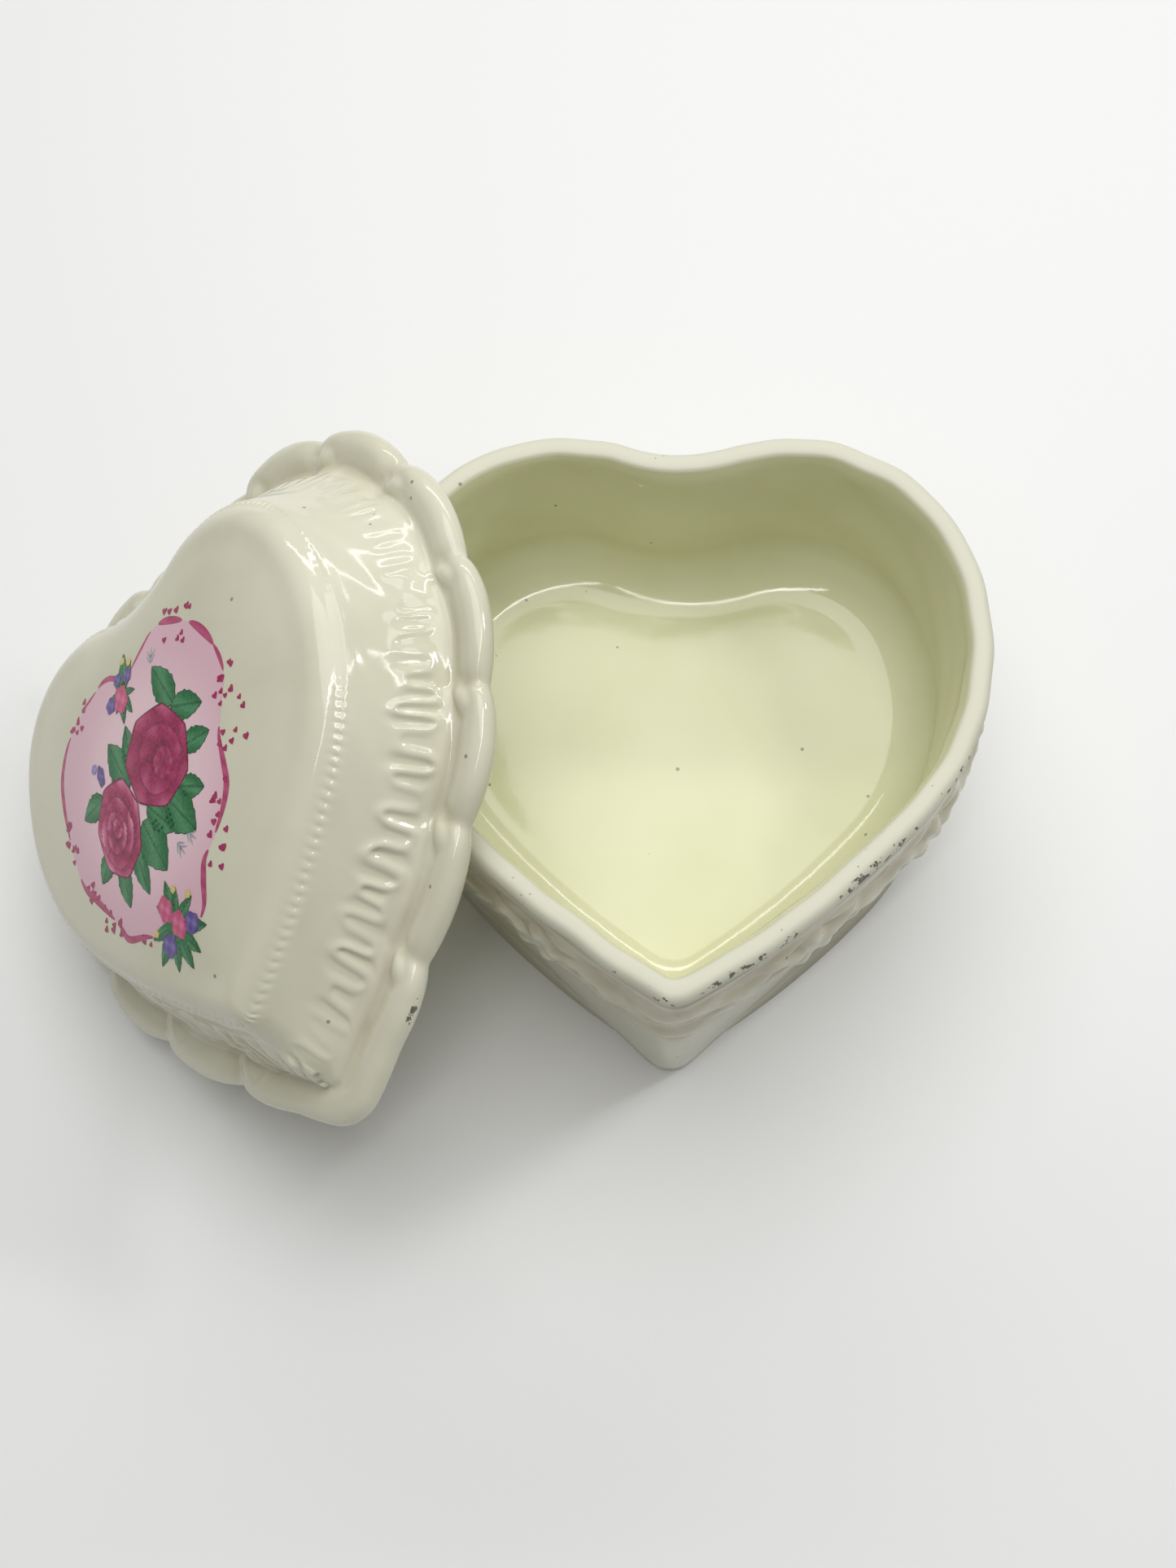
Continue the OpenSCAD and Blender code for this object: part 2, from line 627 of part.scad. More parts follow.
// one thread winding up the spindle, with a groove facing the wheel's tooth at rest
worm_turns = 3.5;
worm_seg = 20;
module worm_thread() {
  n = worm_turns * worm_seg;
  sect = [[0.72, -0.24], [worm_r + 0.23, -0.11], [worm_r + 0.23, 0.11], [0.72, 0.24]];
  pts = [
    for (i = [0:n]) let (a = 360 * i / worm_seg) for (s = sect)
      [s[0] * cos(a), s[0] * sin(a), s[1] + worm_pitch * (i / worm_seg - worm_turns / 2)]
  ];
  sides = [
    for (i = [0:n - 1]) for (j = [0:3]) let (k = (j + 1) % 4)
      for (f = [[4 * i + j, 4 * i + 4 + k, 4 * i + 4 + j], [4 * i + j, 4 * i + k, 4 * i + 4 + k]]) f
  ];
  polyhedron(points = pts, faces = concat([[3, 2, 1, 0]], sides, [[4 * n, 4 * n + 1, 4 * n + 2, 4 * n + 3]]));
}

brake_z = [gov_top - 1, arm_z - 0.5];
module fan_spindle() {
  color("silver") translate([fan_x, fan_y, 0]) {
    translate([0, 0, bed_top + 0.3]) cylinder(r = 0.35, h = arm_z + 0.4 - bed_top);
    translate([0, 0, bed_top + ear_t + 0.3]) cylinder(r = 0.6, h = arm_z - 0.3 - bed_top - ear_t - 0.3);
    translate([0, 0, worm_wheel_z - 2]) cylinder(r = 0.8, h = 4);
    translate([0, 0, worm_wheel_z]) rotate([0, 0, 180]) worm_thread();
  }
}

brake_r = 3.3;
module air_brake() {
  color("#c2c6c9") translate([fan_x, fan_y, brake_z[0]]) difference() {
    union() {
      cylinder(r = 1, h = brake_z[1] - brake_z[0]);
      translate([-brake_r, -0.13, 0.2]) cube([2 * brake_r, 0.26, brake_z[1] - brake_z[0] - 0.4]);
    }
    translate([0, 0, -1]) cylinder(r = 0.6, h = 8);
  }
}

module end_stone() {
  color("#8c2f3a") translate([fan_x, fan_y, arm_z + 0.8]) cylinder(r = 1, h = 0.5);
}

base_bowl();
lid_shell();
bottom_cover();
movement_screws();
winding_key();
spring_arbor();
ratchet_wheel();
drive_wheel();
click_spring();
spring_housing();
mainspring();
bedplate();
drive_end_bracket();
governor_end_bracket();
bracket_screws();
music_cylinder();
cylinder_ends();
cylinder_pins();
cylinder_arbor();
cylinder_pinion();
cylinder_wheel();
comb();
bass_weights();
comb_screws();
governor_frame();
governor_screws();
governor_wheel();
worm_wheel();
fan_spindle();
air_brake();
end_stone();
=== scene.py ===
"""A heart-shaped porcelain music box: a glazed base, a scalloped lid with a rose decal that leans on it, and
the finishes of the movement inside."""

import math

import bpy
import numpy as np
from mathutils import Euler, Matrix, Vector
from mathutils.geometry import delaunay_2d_cdt


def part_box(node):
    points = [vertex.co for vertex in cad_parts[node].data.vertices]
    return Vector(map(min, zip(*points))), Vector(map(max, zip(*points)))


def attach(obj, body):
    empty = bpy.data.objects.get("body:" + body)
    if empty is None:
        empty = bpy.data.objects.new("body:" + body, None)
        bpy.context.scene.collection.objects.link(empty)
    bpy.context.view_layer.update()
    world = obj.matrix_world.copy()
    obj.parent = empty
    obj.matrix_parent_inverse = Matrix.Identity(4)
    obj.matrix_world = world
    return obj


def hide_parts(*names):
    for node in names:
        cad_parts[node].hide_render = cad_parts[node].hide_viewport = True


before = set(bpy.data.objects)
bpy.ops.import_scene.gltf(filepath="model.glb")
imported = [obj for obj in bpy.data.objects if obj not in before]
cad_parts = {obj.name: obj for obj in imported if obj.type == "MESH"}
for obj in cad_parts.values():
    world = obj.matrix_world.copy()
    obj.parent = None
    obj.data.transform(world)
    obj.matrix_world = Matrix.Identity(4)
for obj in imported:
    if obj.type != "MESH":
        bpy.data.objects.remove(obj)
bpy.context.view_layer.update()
MM = 0.001

# ---------- sizes, in millimetres
BASE_LOW, BASE_HIGH = [np.array(c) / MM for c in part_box("base_bowl")]
RELIEF_OUT = 1.6  # the relief's highest point outside the rim line
RIM_W = BASE_HIGH[0] - BASE_LOW[0] - 2 * RELIEF_OUT  # width across the rim
BASE_H = BASE_HIGH[2] - BASE_LOW[2]
DRAWN_H = 64  # the height that the base's section is written at
TIP_R = 3.0  # the tip of the rim line
FLOOR_Z, ROOF_Z, COVER_Z = 27.0, 23.7, 8.8  # bowl floor, its underside, the cover's ledge
LIP_OUT = 8.2  # the lid's lip outside the rim line
SCALLOP, SCALLOPS, SCALLOP_START = 2.2, 8, 0.28  # depth, count on each half, and where the first starts
ROPE_IN, ROPE_H = 9.3, 19.6  # the rope: inside the rim line, and height
DOME_RISE, DOME_RUN, LID_T = 7.0, 22.0, 4.0
LEAN_AT = np.array([-75.6, -13.2, 41.8])  # where the lid's own origin stands
LEAN_TURN = (-4.2, -42.2, 21.9)  # degrees about x, then y, then z
MIDDLE = (0.0, -6.0)  # where the heart's floor and dome close, in plan
BASE_COLUMNS, LID_COLUMNS = 600, 900  # columns round the outline
SOFTENING = 5  # passes that ease the relief and the lip's junctions


# ---------- the heart outline
class Heart:
    """A heart of tangent arcs round the rim line; offset d moves every arc out by d about the same centre."""

    def __init__(self, width):
        k = width / 110  # the radii are those of a heart 110 mm wide
        self.notch_r, self.lobe_r, self.side_r, self.flank_r = 28.9 * k, 33.4 * k, 49.6 * k, 170 * k
        self.lobe_a, self.flank_a = math.radians(22.7), math.radians(-42.8)
        side = np.array([width / 2 - self.side_r, 0])
        lobe = side + (self.side_r - self.lobe_r) * self.way(self.lobe_a)
        notch = np.array([0, lobe[1] + math.sqrt((self.lobe_r + self.notch_r) ** 2 - lobe[0] ** 2)])
        self.notch_a = math.atan2(lobe[1] - notch[1], lobe[0])
        flank = side + (self.side_r - self.flank_r) * self.way(self.flank_a)
        self.side, self.lobe, self.notch, self.flank = side, lobe, notch, flank
        shares = self.lengths(LIP_OUT - 0.2)  # columns are even along the lid's lip
        self.stops = np.concatenate([[0], np.cumsum(shares) / sum(shares)])

    @staticmethod
    def way(angle):
        """A step of 1 in a direction."""
        return np.array([math.cos(angle), math.sin(angle)])

    def tip(self, d, tip_r):
        """The tip arc's radius, its centre's height and the angle where it meets the flank."""
        r = np.maximum(tip_r, tip_r + d)
        y = self.flank[1] - np.sqrt((self.flank_r + d - r) ** 2 - self.flank[0] ** 2)
        return r, y, np.arctan2(y - self.flank[1], -self.flank[0])

    def arcs(self, d, tip_r=TIP_R):
        """Centre x and y, radius, first and last angle of each arc from the notch to the tip."""
        r, y, a = self.tip(d, tip_r)
        half = math.pi / 2
        return [(self.notch[0], self.notch[1], self.notch_r - d, -half, self.notch_a),
                (self.lobe[0], self.lobe[1], self.lobe_r + d, self.notch_a + math.pi, self.lobe_a),
                (self.side[0], self.side[1], self.side_r + d, self.lobe_a, self.flank_a),
                (self.flank[0], self.flank[1], self.flank_r + d, self.flank_a, a),
                (0.0, y, r, a, -half)]

    def lengths(self, d):
        """The length of each arc of one half."""
        return [float(abs(r * (a1 - a0))) for _, _, r, a0, a1 in self.arcs(d)]

    def points(self, d, t, tip_r=TIP_R):
        """x and y at offset d; t runs 0 to 1 down the right half and 1 to 2 back up the left."""
        d, t, tip_r = np.broadcast_arrays(np.asarray(d, float), np.asarray(t, float), tip_r)
        u = np.where(t <= 1, t, 2 - t)
        x, y = np.zeros_like(u), np.zeros_like(u)
        for k, (cx, cy, r, a0, a1) in enumerate(self.arcs(d, tip_r)):
            here = (u >= self.stops[k]) & (u <= self.stops[k + 1])
            a = a0 + (a1 - a0) * (u - self.stops[k]) / (self.stops[k + 1] - self.stops[k])
            x = np.where(here, cx + r * np.cos(a), x)
            y = np.where(here, cy + r * np.sin(a), y)
        return np.where(t <= 1, x, -x), y


HEART = Heart(RIM_W)
HALF_LENGTH = sum(HEART.lengths(0.0))


def half(t):
    """How far along its own half a column is, 0 at the notch and 1 at the tip."""
    return np.where(t <= 1, t, 2 - t)


def from_tip(t):
    """How far a column is from the tip, along the rim line."""
    return (1 - half(t)) * HALF_LENGTH


def round_the_outline(count):
    """One row of t for that many columns."""
    return np.arange(count)[None, :] / (count / 2)


def scroll_run(t):
    """How far along its own scroll a column is, 0 to 1 from the notch's side."""
    return (SCALLOPS * half(t) + SCALLOP_START) % 1


def scallop_in(t):
    """How far the lip is drawn in, 0 to 1: each scroll comes out quickly and falls back slowly."""
    return 1 - np.abs(np.sin(math.pi * scroll_run(t) ** 0.82)) ** 0.7


def smoothstep(a, b, x):
    """From 0 at a to 1 at b, level at both ends."""
    f = np.clip((x - a) / (b - a), 0, 1)
    return f * f * (3 - 2 * f)


def between(a, b, c, e, x):
    """Rises from 0 at a to 1 at b, and falls from 1 at c to 0 at e."""
    return smoothstep(a, b, x) * (1 - smoothstep(c, e, x))


def bell(x, width):
    """1 at 0, and little past twice the width."""
    return np.exp(-(x / width) ** 2)


def wobble(t, waves, seed):
    """A smooth random run of values round the outline, about -1 to 1."""
    r = np.random.default_rng(seed)
    total = np.zeros_like(t)
    for k in range(1, waves + 1):
        total = total + r.normal() * np.sin(math.pi * k * t + r.uniform(0, 2 * math.pi))
    return total / math.sqrt(waves)


def spline(a, b, c, e, f):
    """Catmull-Rom from b to c at the shares f, with a before them and e after."""
    square, cube = 2 * a - 5 * b + 4 * c - e, 3 * b - a - 3 * c + e
    return 0.5 * (2 * b + (c - a) * f + square * f ** 2 + cube * f ** 3)


def inside_of(outline, x, y):
    """Which of the points x, y are inside a closed outline."""
    odd = np.zeros(np.shape(x), bool)
    for (x0, y0), (x1, y1) in zip(outline, np.roll(outline, -1, axis=0)):
        if y0 != y1:
            odd ^= ((y0 > y) != (y1 > y)) & (x < x0 + (y - y0) * (x1 - x0) / (y1 - y0))
    return odd


def eased_round(values):
    """One pass of smoothing round the outline."""
    return 0.5 * values + 0.25 * (np.roll(values, 1, axis=1) + np.roll(values, -1, axis=1))


# ---------- meshes of rows round the outline
def through(points, rows):
    """A smooth profile through (d, z) points with about that many rows."""
    p = np.array(points, float)
    p = np.vstack([2 * p[0] - p[1], p, 2 * p[-1] - p[-2]])
    lengths = np.linalg.norm(np.diff(p[1:-1], axis=0), axis=1)
    out = []
    for k, length in enumerate(lengths):
        steps = max(1, round(rows * length / lengths.sum()))
        f = np.arange(steps)[:, None] / steps
        out.append(spline(p[k], p[k + 1], p[k + 2], p[k + 3], f))
    return np.vstack(out + [p[-2:-1]])


UNDER_SHARES = [0.3, 0.7]  # the rows that close the underside, as shares of the way out from the middle


def flat_rows(x, y, shares, height):
    """Rows shrunk about the middle, at the height that height(x, y) gives."""
    plans = [(MIDDLE[0] + (x - MIDDLE[0]) * s, MIDDLE[1] + (y - MIDDLE[1]) * s) for s in shares]
    return [np.stack([a, b, height(a, b)], axis=-1) for a, b in plans]


def closed_rows(x, y, z, under_z, shares, height):
    """The profile's rows, and those that close it below at under_z and above at height(x, y)."""
    under = flat_rows(x[0], y[0], UNDER_SHARES, level_at(under_z))
    return np.array(under + list(np.stack([x, y, z], axis=-1)) + flat_rows(x[-1], y[-1], shares, height))


def level_at(z):
    """A height for flat_rows that is the same everywhere."""
    return lambda x, y: np.full_like(x, z)


def smooth_mesh(name, points, faces):
    """A smooth mesh from points in millimetres."""
    mesh = bpy.data.meshes.new(name)
    mesh.from_pydata((points * MM).tolist(), [], faces)
    mesh.polygons.foreach_set("use_smooth", np.ones(len(faces), bool))
    return mesh


def mesh_of_rows(name, xyz, attributes, centre_low, centre_high):
    """A closed skin: rows (rows, columns, 3) joined round, with a centre point under the first and over the
    last. Each attribute has its values on the profile's rows, then its value below those and above them."""
    rows, columns = xyz.shape[:2]
    index = np.arange(rows * columns).reshape(rows, columns)
    after = np.roll(index, -1, axis=1)
    quads = np.stack([index[:-1], index[1:], after[1:], after[:-1]], axis=-1).reshape(-1, 4)
    low, high = rows * columns, rows * columns + 1
    faces = quads.tolist()
    faces += [(low, int(a), int(b)) for a, b in zip(index[0], after[0])]
    faces += [(high, int(b), int(a)) for a, b in zip(index[-1], after[-1])]
    mesh = smooth_mesh(name, np.vstack([xyz.reshape(-1, 3), [centre_low], [centre_high]]), faces)
    for key, (values, below, above) in attributes.items():
        layer = mesh.attributes.new(key, "FLOAT", "POINT")
        before = np.full(len(UNDER_SHARES) * columns, below)
        beyond = np.full((rows - len(UNDER_SHARES) - len(values)) * columns, above)
        layer.data.foreach_set("value", np.concatenate([before, np.ravel(values), beyond, [below, above]]))
    mesh.update()
    return linked(name, mesh)


def linked(name, data):
    """A new object in the scene."""
    thing = bpy.data.objects.new(name, data)
    bpy.context.scene.collection.objects.link(thing)
    return thing


# ---------- the base
def oval(s, z, at, long, wide, angle):
    """A soft oval lump, 1 high at its middle and level at its edge."""
    a, b = s - at[0], z - at[1]
    along = (a * math.cos(angle) + b * math.sin(angle)) / long
    across = (-a * math.sin(angle) + b * math.cos(angle)) / wide
    return np.clip(1 - along ** 2 - across ** 2, 0, None) ** 1.2


def rosette(s, z, at, count, spread, size):
    """A knob with petals round it, as the highest of several oval lumps."""
    high = 0.9 * oval(s, z, at, size * 0.7, size * 0.7, 0)
    for k in range(count):
        a = 2 * math.pi * k / count + 0.3
        centre = (at[0] + spread * math.cos(a), at[1] + spread * math.sin(a))
        high = np.maximum(high, oval(s, z, centre, size, size * 0.75, a))
    return high


CLUSTERS = 6  # flower clusters on each half of the base
FLOWER_Z, LEAF_Z, SWAG_Z, SPRAY_Z = 47.5, 50.8, 44.8, 54.4
RELIEF_H, DRAPE_RISE = 2.3, 3.6  # how far the flowers stand out, and the drape swings up


def relief(s, z, t):
    """Flowers, leaf swags and folds round the base, as a height over the wall, about 0 to 1."""
    high = np.zeros_like(s)
    r = np.random.default_rng(5)
    for k in range(CLUSTERS + 1):
        mid, dz = k * HALF_LENGTH / CLUSTERS, r.uniform(-1.0, 1.0)
        lumps = [high, rosette(s, z, (mid, FLOWER_Z + dz), 5, 4.0, 3.4)]
        for way in (-1, 1):
            for j in range(3):
                reach, sag, lean = 7.0 + 3.6 * j, 1.9 * j, way * (0.5 - 0.75 * j)
                upper = (mid + way * reach, LEAF_Z - sag + dz)
                lower = (mid + way * (reach - 1.0), SWAG_Z - 0.6 * sag)
                lumps.append(0.85 * oval(s, z, upper, 4.0, 2.1, lean))
                lumps.append(0.7 * oval(s, z, lower, 3.4, 1.8, lean - way * 1.3))
            lumps.append(0.5 * oval(s, z, (mid + way * 5.5, SPRAY_Z), 5.0, 1.6, way * -0.25))
        high = np.maximum.reduce(lumps)
    folds = 0.5 + 0.5 * np.sin(z * 0.5 + 16 * (1 - half(t)) + 1.2 * (t > 1))
    at_tip = smoothstep(0.91, 0.98, half(t))
    return high * (1 - at_tip) + at_tip * 0.5 * folds


BAND_LOW, BAND_HIGH = 37.2, 56.8  # the band of flowers, from just over the drape to the neck
DRAPE_Z, NECK_Z = 35.8, 59.0  # the drape's edge, and the top of the groove under the rim
FILLET_R = 10  # between the bowl's wall and its floor
FLOOR_SHARES = [0.97, 0.85, 0.7, 0.5, 0.3, 0.12]


def base_profile():
    """The base's section as (d, z) rows, from the recess underneath round the foot and over the rim to the
    floor, and the first row of its outside, of its rim and of its wall."""
    foot = [(-11, ROOF_Z), (-8.6, 21.7), (-8, COVER_Z), (-6, COVER_Z), (-6, 0), (-3.7, 0), (-2.95, 0.5)]
    plinth = through([(-2.75, 1.3), (-2.6, 12), (-2.45, 24), (-2.4, 33.5)], 12)
    step = [(-2.35, 34.5), (-2.1, 35.1), (-1.5, 35.5), (-0.9, 35.9), (-0.55, 36.5)]
    band = [(-0.4, z) for z in np.arange(BAND_LOW, BAND_HIGH, 0.48)]
    neck = [(-0.4, 57.2), (-0.5, 57.7), (-0.8, 58.2), (-0.9, 58.7), (-0.7, 59.2), (-0.45, 59.8),
            (-0.28, 60.4)]
    rim = through([(-0.1, 61.2), (-0.05, 62.4), (-0.5, 63.4), (-1.4, 63.95), (-2.9, 63.97), (-3.9, 63.5),
                   (-4.4, 62.3)], 22)
    wall = through([(-4.7, 61), (-5.2, 53), (-5.8, 45), (-6.2, FLOOR_Z + FILLET_R + 0.2)], 14)
    fillet = [(-6.2 - FILLET_R + FILLET_R * math.cos(a), FLOOR_Z + FILLET_R - FILLET_R * math.sin(a))
              for a in np.linspace(0, math.pi / 2, 14)]
    outside = plinth.tolist() + step + band + neck
    profile = np.array(foot + outside + rim.tolist() + wall.tolist() + fillet)
    profile[:, 1] *= BASE_H / DRAWN_H
    rim_at = len(foot) + len(outside)
    return profile, len(foot), rim_at, rim_at + len(rim)


def base_tip_radii(level, outer, outer_at, rim_at, wall_at):
    """The tip's radius on each row: wide at the foot, close at the rim, and wide again at the floor."""
    foot_r, rim_r, inner_r = 9.0, 5.5, 3.5
    radii = np.where(outer, foot_r - (foot_r - rim_r) * smoothstep(34, 60, level), TIP_R)
    radii[outer_at - 3:outer_at] = foot_r
    radii[rim_at:wall_at] = np.linspace(rim_r, inner_r, wall_at - rim_at)[:, None]
    radii[wall_at:] = np.linspace(inner_r, foot_r, len(level) - wall_at)[:, None]
    return radii


def base_piece():
    """The base: its section taken round the heart, with the drape, the flowers and an uneven hand."""
    profile, outer_at, rim_at, wall_at = base_profile()
    columns = round_the_outline(BASE_COLUMNS)
    place = np.arange(len(profile))[:, None]
    level = profile[:, 1:]
    outer = (place >= outer_at) & (place < rim_at)
    full = np.ones((len(profile), BASE_COLUMNS))

    swings = DRAPE_RISE * np.abs(np.cos(math.pi * CLUSTERS * half(columns))) ** 0.8
    drape = swings + 0.7 * wobble(columns, 16, 3) - 2.2
    z = level + np.where(outer, drape * bell(level - DRAPE_Z, 8.0), 0)
    in_band = between(36.0, 38.0, 55.2, 57.2, level) * outer
    high = relief(half(columns) * HALF_LENGTH * full, z, columns * full)
    for _ in range(SOFTENING):
        high = eased_round(high)
        high[1:-1] = 0.5 * high[1:-1] + 0.25 * (high[2:] + high[:-2])

    d = profile[:, :1] + in_band * (RELIEF_H * high + 0.1 * wobble(columns + z / 60, 24, 8))
    at_foot = outer * (1 - smoothstep(30, 37, level))
    d += at_foot * (2.2 * bell(from_tip(columns), 9) - 1.4 * bell(from_tip(columns) - 38, 24))
    d = np.minimum(d, RELIEF_OUT)
    d += np.where(level > NECK_Z, 0.16 * wobble(columns, 30, 4), 0) * (profile[:, :1] > -5)
    on_wall = (place >= wall_at) * smoothstep(27, 40, level)
    d += 0.22 * on_wall * wobble(columns + z / 70, 14, 12)
    x, y = HEART.points(d, columns, base_tip_radii(level, outer, outer_at, rim_at, wall_at))

    rows = closed_rows(x, y, z, ROOF_Z, FLOOR_SHARES, level_at(FLOOR_Z))

    hollow = in_band * np.clip(1 - high * 1.4, 0, 1)
    grooves = (bell(level - 58.5, 0.5) + bell(level - 35.4, 0.9)) * outer
    pool = np.clip(0.7 * hollow + grooves, 0, 1)
    inside = smoothstep(wall_at - 7, wall_at - 2, place) * full
    worn = between(rim_at - 4, rim_at, wall_at - 8, wall_at - 4, place) * full
    right_flank = np.where(columns <= 1, bell(from_tip(columns) - 40, 22), 0.15)
    grime = bell(place - rim_at - 6, 2.2) * np.clip(right_flank + 0.7 * bell(from_tip(columns), 9), 0.12, 1)
    looks = {"pool": (pool, 0, 0), "inside": (inside, 0, 1), "worn": (worn, 0, 0), "grime": (grime, 0, 0)}
    return mesh_of_rows("base", rows, looks, (*MIDDLE, ROOF_Z), (*MIDDLE, FLOOR_Z))


# ---------- the lid
LEAN = np.array(Euler(np.radians(LEAN_TURN)).to_matrix())


def leaned(points):
    """The lid's own coordinates to where it leans."""
    return points @ LEAN.T + LEAN_AT


def dome_exact(inward):
    """The dome's height over the rope, as a quarter of an ellipse, some way in from the rope."""
    return DOME_RISE * np.sqrt(np.clip(1 - (1 - np.clip(inward / DOME_RUN, 0, 1)) ** 2, 0, 1))


class DomeCrown:
    """The dome's height on a grid: a stretched skin held down round the rope, with no flat and no creases."""

    def __init__(self, step=1.0, passes=3000, fullness=0.42, margin=4):
        ox, oy = HEART.points(-ROPE_IN, np.arange(400) / 200)
        self.step, self.low = step, np.array([ox.min() - margin, oy.min() - margin])
        gx = np.arange(self.low[0], ox.max() + margin, step)
        gy = np.arange(self.low[1], oy.max() + margin, step)
        px, py = np.meshgrid(gx, gy, indexing="ij")
        inside = inside_of(np.column_stack([ox, oy]), px, py)
        skin = np.zeros(px.shape)
        for _ in range(passes):
            around = skin[2:, 1:-1] + skin[:-2, 1:-1] + skin[1:-1, 2:] + skin[1:-1, :-2]
            skin[1:-1, 1:-1] = 0.25 * around + 1e-3
            skin[~inside] = 0
        high = DOME_RISE * (skin / skin.max()) ** fullness
        kernel = bell(np.arange(-6, 7) * step, 2.4)
        kernel /= kernel.sum()
        for axis in (0, 1):
            high = np.apply_along_axis(lambda v: np.convolve(v, kernel, mode="same"), axis, high)
        self.high = high

    def at(self, x, y):
        """The height over the rope at x, y, between the four grid points round it."""
        fx, fy = (x - self.low[0]) / self.step, (y - self.low[1]) / self.step
        i = np.clip(fx.astype(int), 0, self.high.shape[0] - 2)
        j = np.clip(fy.astype(int), 0, self.high.shape[1] - 2)
        a, b = np.clip(fx - i, 0, 1), np.clip(fy - j, 0, 1)
        h = self.high
        return (h[i, j] * (1 - a) * (1 - b) + h[i + 1, j] * a * (1 - b)
                + h[i, j + 1] * (1 - a) * b + h[i + 1, j + 1] * a * b)


CROWN = DomeCrown()
GATHER_PITCH, BEAD_PITCH, FAN_RIB = 6.4, 2.2, 7.5  # millimetres, millimetres and degrees
FAN_AT = 0.935 * HALF_LENGTH  # the shell's middle, along the half outline
SCROLL = HALF_LENGTH / SCALLOPS  # the length of one scroll of the lip


def gathers(s, climb, t):
    """A soft ridge that winds up and down the skirt, as cloth drawn up on a thread. It runs where level is 0,
    and level over its slope is the distance from there."""
    u = half(t)
    strength = 0.3 + 0.7 * between(0.45, 0.68, 0.9, 0.94, u)
    turns = 2 * math.pi / GATHER_PITCH
    phase = turns * s + 0.9 * wobble(t, 40, 21)
    middle, reach = 5.6 + 0.6 * wobble(t, 30, 22), 3.3 + 0.6 * wobble(t, 40, 23)
    x = (climb - middle) / reach
    level = np.sin(phase) - 0.25 * x - 0.75 * x ** 5
    slope = np.sqrt((turns * np.cos(phase)) ** 2 + ((0.25 + 3.75 * x ** 4) / reach) ** 2)
    ridge = bell(level / slope, 1.08) - 0.4
    size = 0.56 * (1 + 0.4 * wobble(t, 60, 24))
    return strength * size * ridge * (1 - smoothstep(0.9, 1.9, np.abs(x))) * smoothstep(0.0, 2.0, climb)


def fan(s, climb, t):
    """The shell of ribs beside the tip, on the left half."""
    a, b = s - FAN_AT, climb + 6
    angle, reach = np.degrees(np.arctan2(a, b)), np.hypot(a, b)
    ribs = 0.5 + 0.5 * np.cos(math.pi * angle / FAN_RIB)
    there = (np.abs(angle) < 48) * between(6.5, 8.5, 15.5, 18.5, reach)
    return (t > 1) * there * 0.85 * ribs ** 0.6


def lip_form(across, t):
    """The rolled lip: each scroll rises from under the last one, and they fade out before the tip."""
    f = scroll_run(t)
    pinch, shoulder = 0.55 * bell((1 - f) * SCROLL, 3.0), 0.3 * bell(f * SCROLL - 2.6, 2.4)
    swell = 0.3 * np.sin(math.pi * f) ** 0.8 - pinch + shoulder
    on_top = bell(across - 3.2, 3.2) * smoothstep(-1.5, 1.5, across)
    return swell * on_top * (1 - smoothstep(0.88, 0.94, half(t)))


def knobs(s, across):
    """The curls at the inner side of each junction: a bead inside a hooked groove."""
    first = -SCALLOP_START * SCROLL
    near = first + np.round((s - first) / SCROLL) * SCROLL
    a, b = s - near - 1.6, across - 6.9
    reach = np.hypot(a, b)
    there = (near > 1) & (near < HALF_LENGTH * 0.9)
    hook = 0.4 * bell(reach - 3.3, 1.0) * (1 - smoothstep(-0.5, 1.5, b))
    return np.where(there, 0.6 * bell(reach, 2.1) - hook, 0)


def rope(s, across, t):
    """A soft string of round beads round the dome, worn smooth on the shoulders."""
    bead = np.abs(np.sin(math.pi * (s / BEAD_PITCH + 0.1 * across))) ** 0.7 - 0.4
    worn_smooth = between(0.26, 0.34, 0.56, 0.66, half(t))
    size = (0.26 + 0.4 * (1 - smoothstep(0.2, 0.34, half(t)))) * (1 - 0.9 * worn_smooth)
    return (0.23 + size * bead) * bell(across, 0.95)


DOME_SHARES = [0.92, 0.78, 0.62, 0.46, 0.3, 0.14]


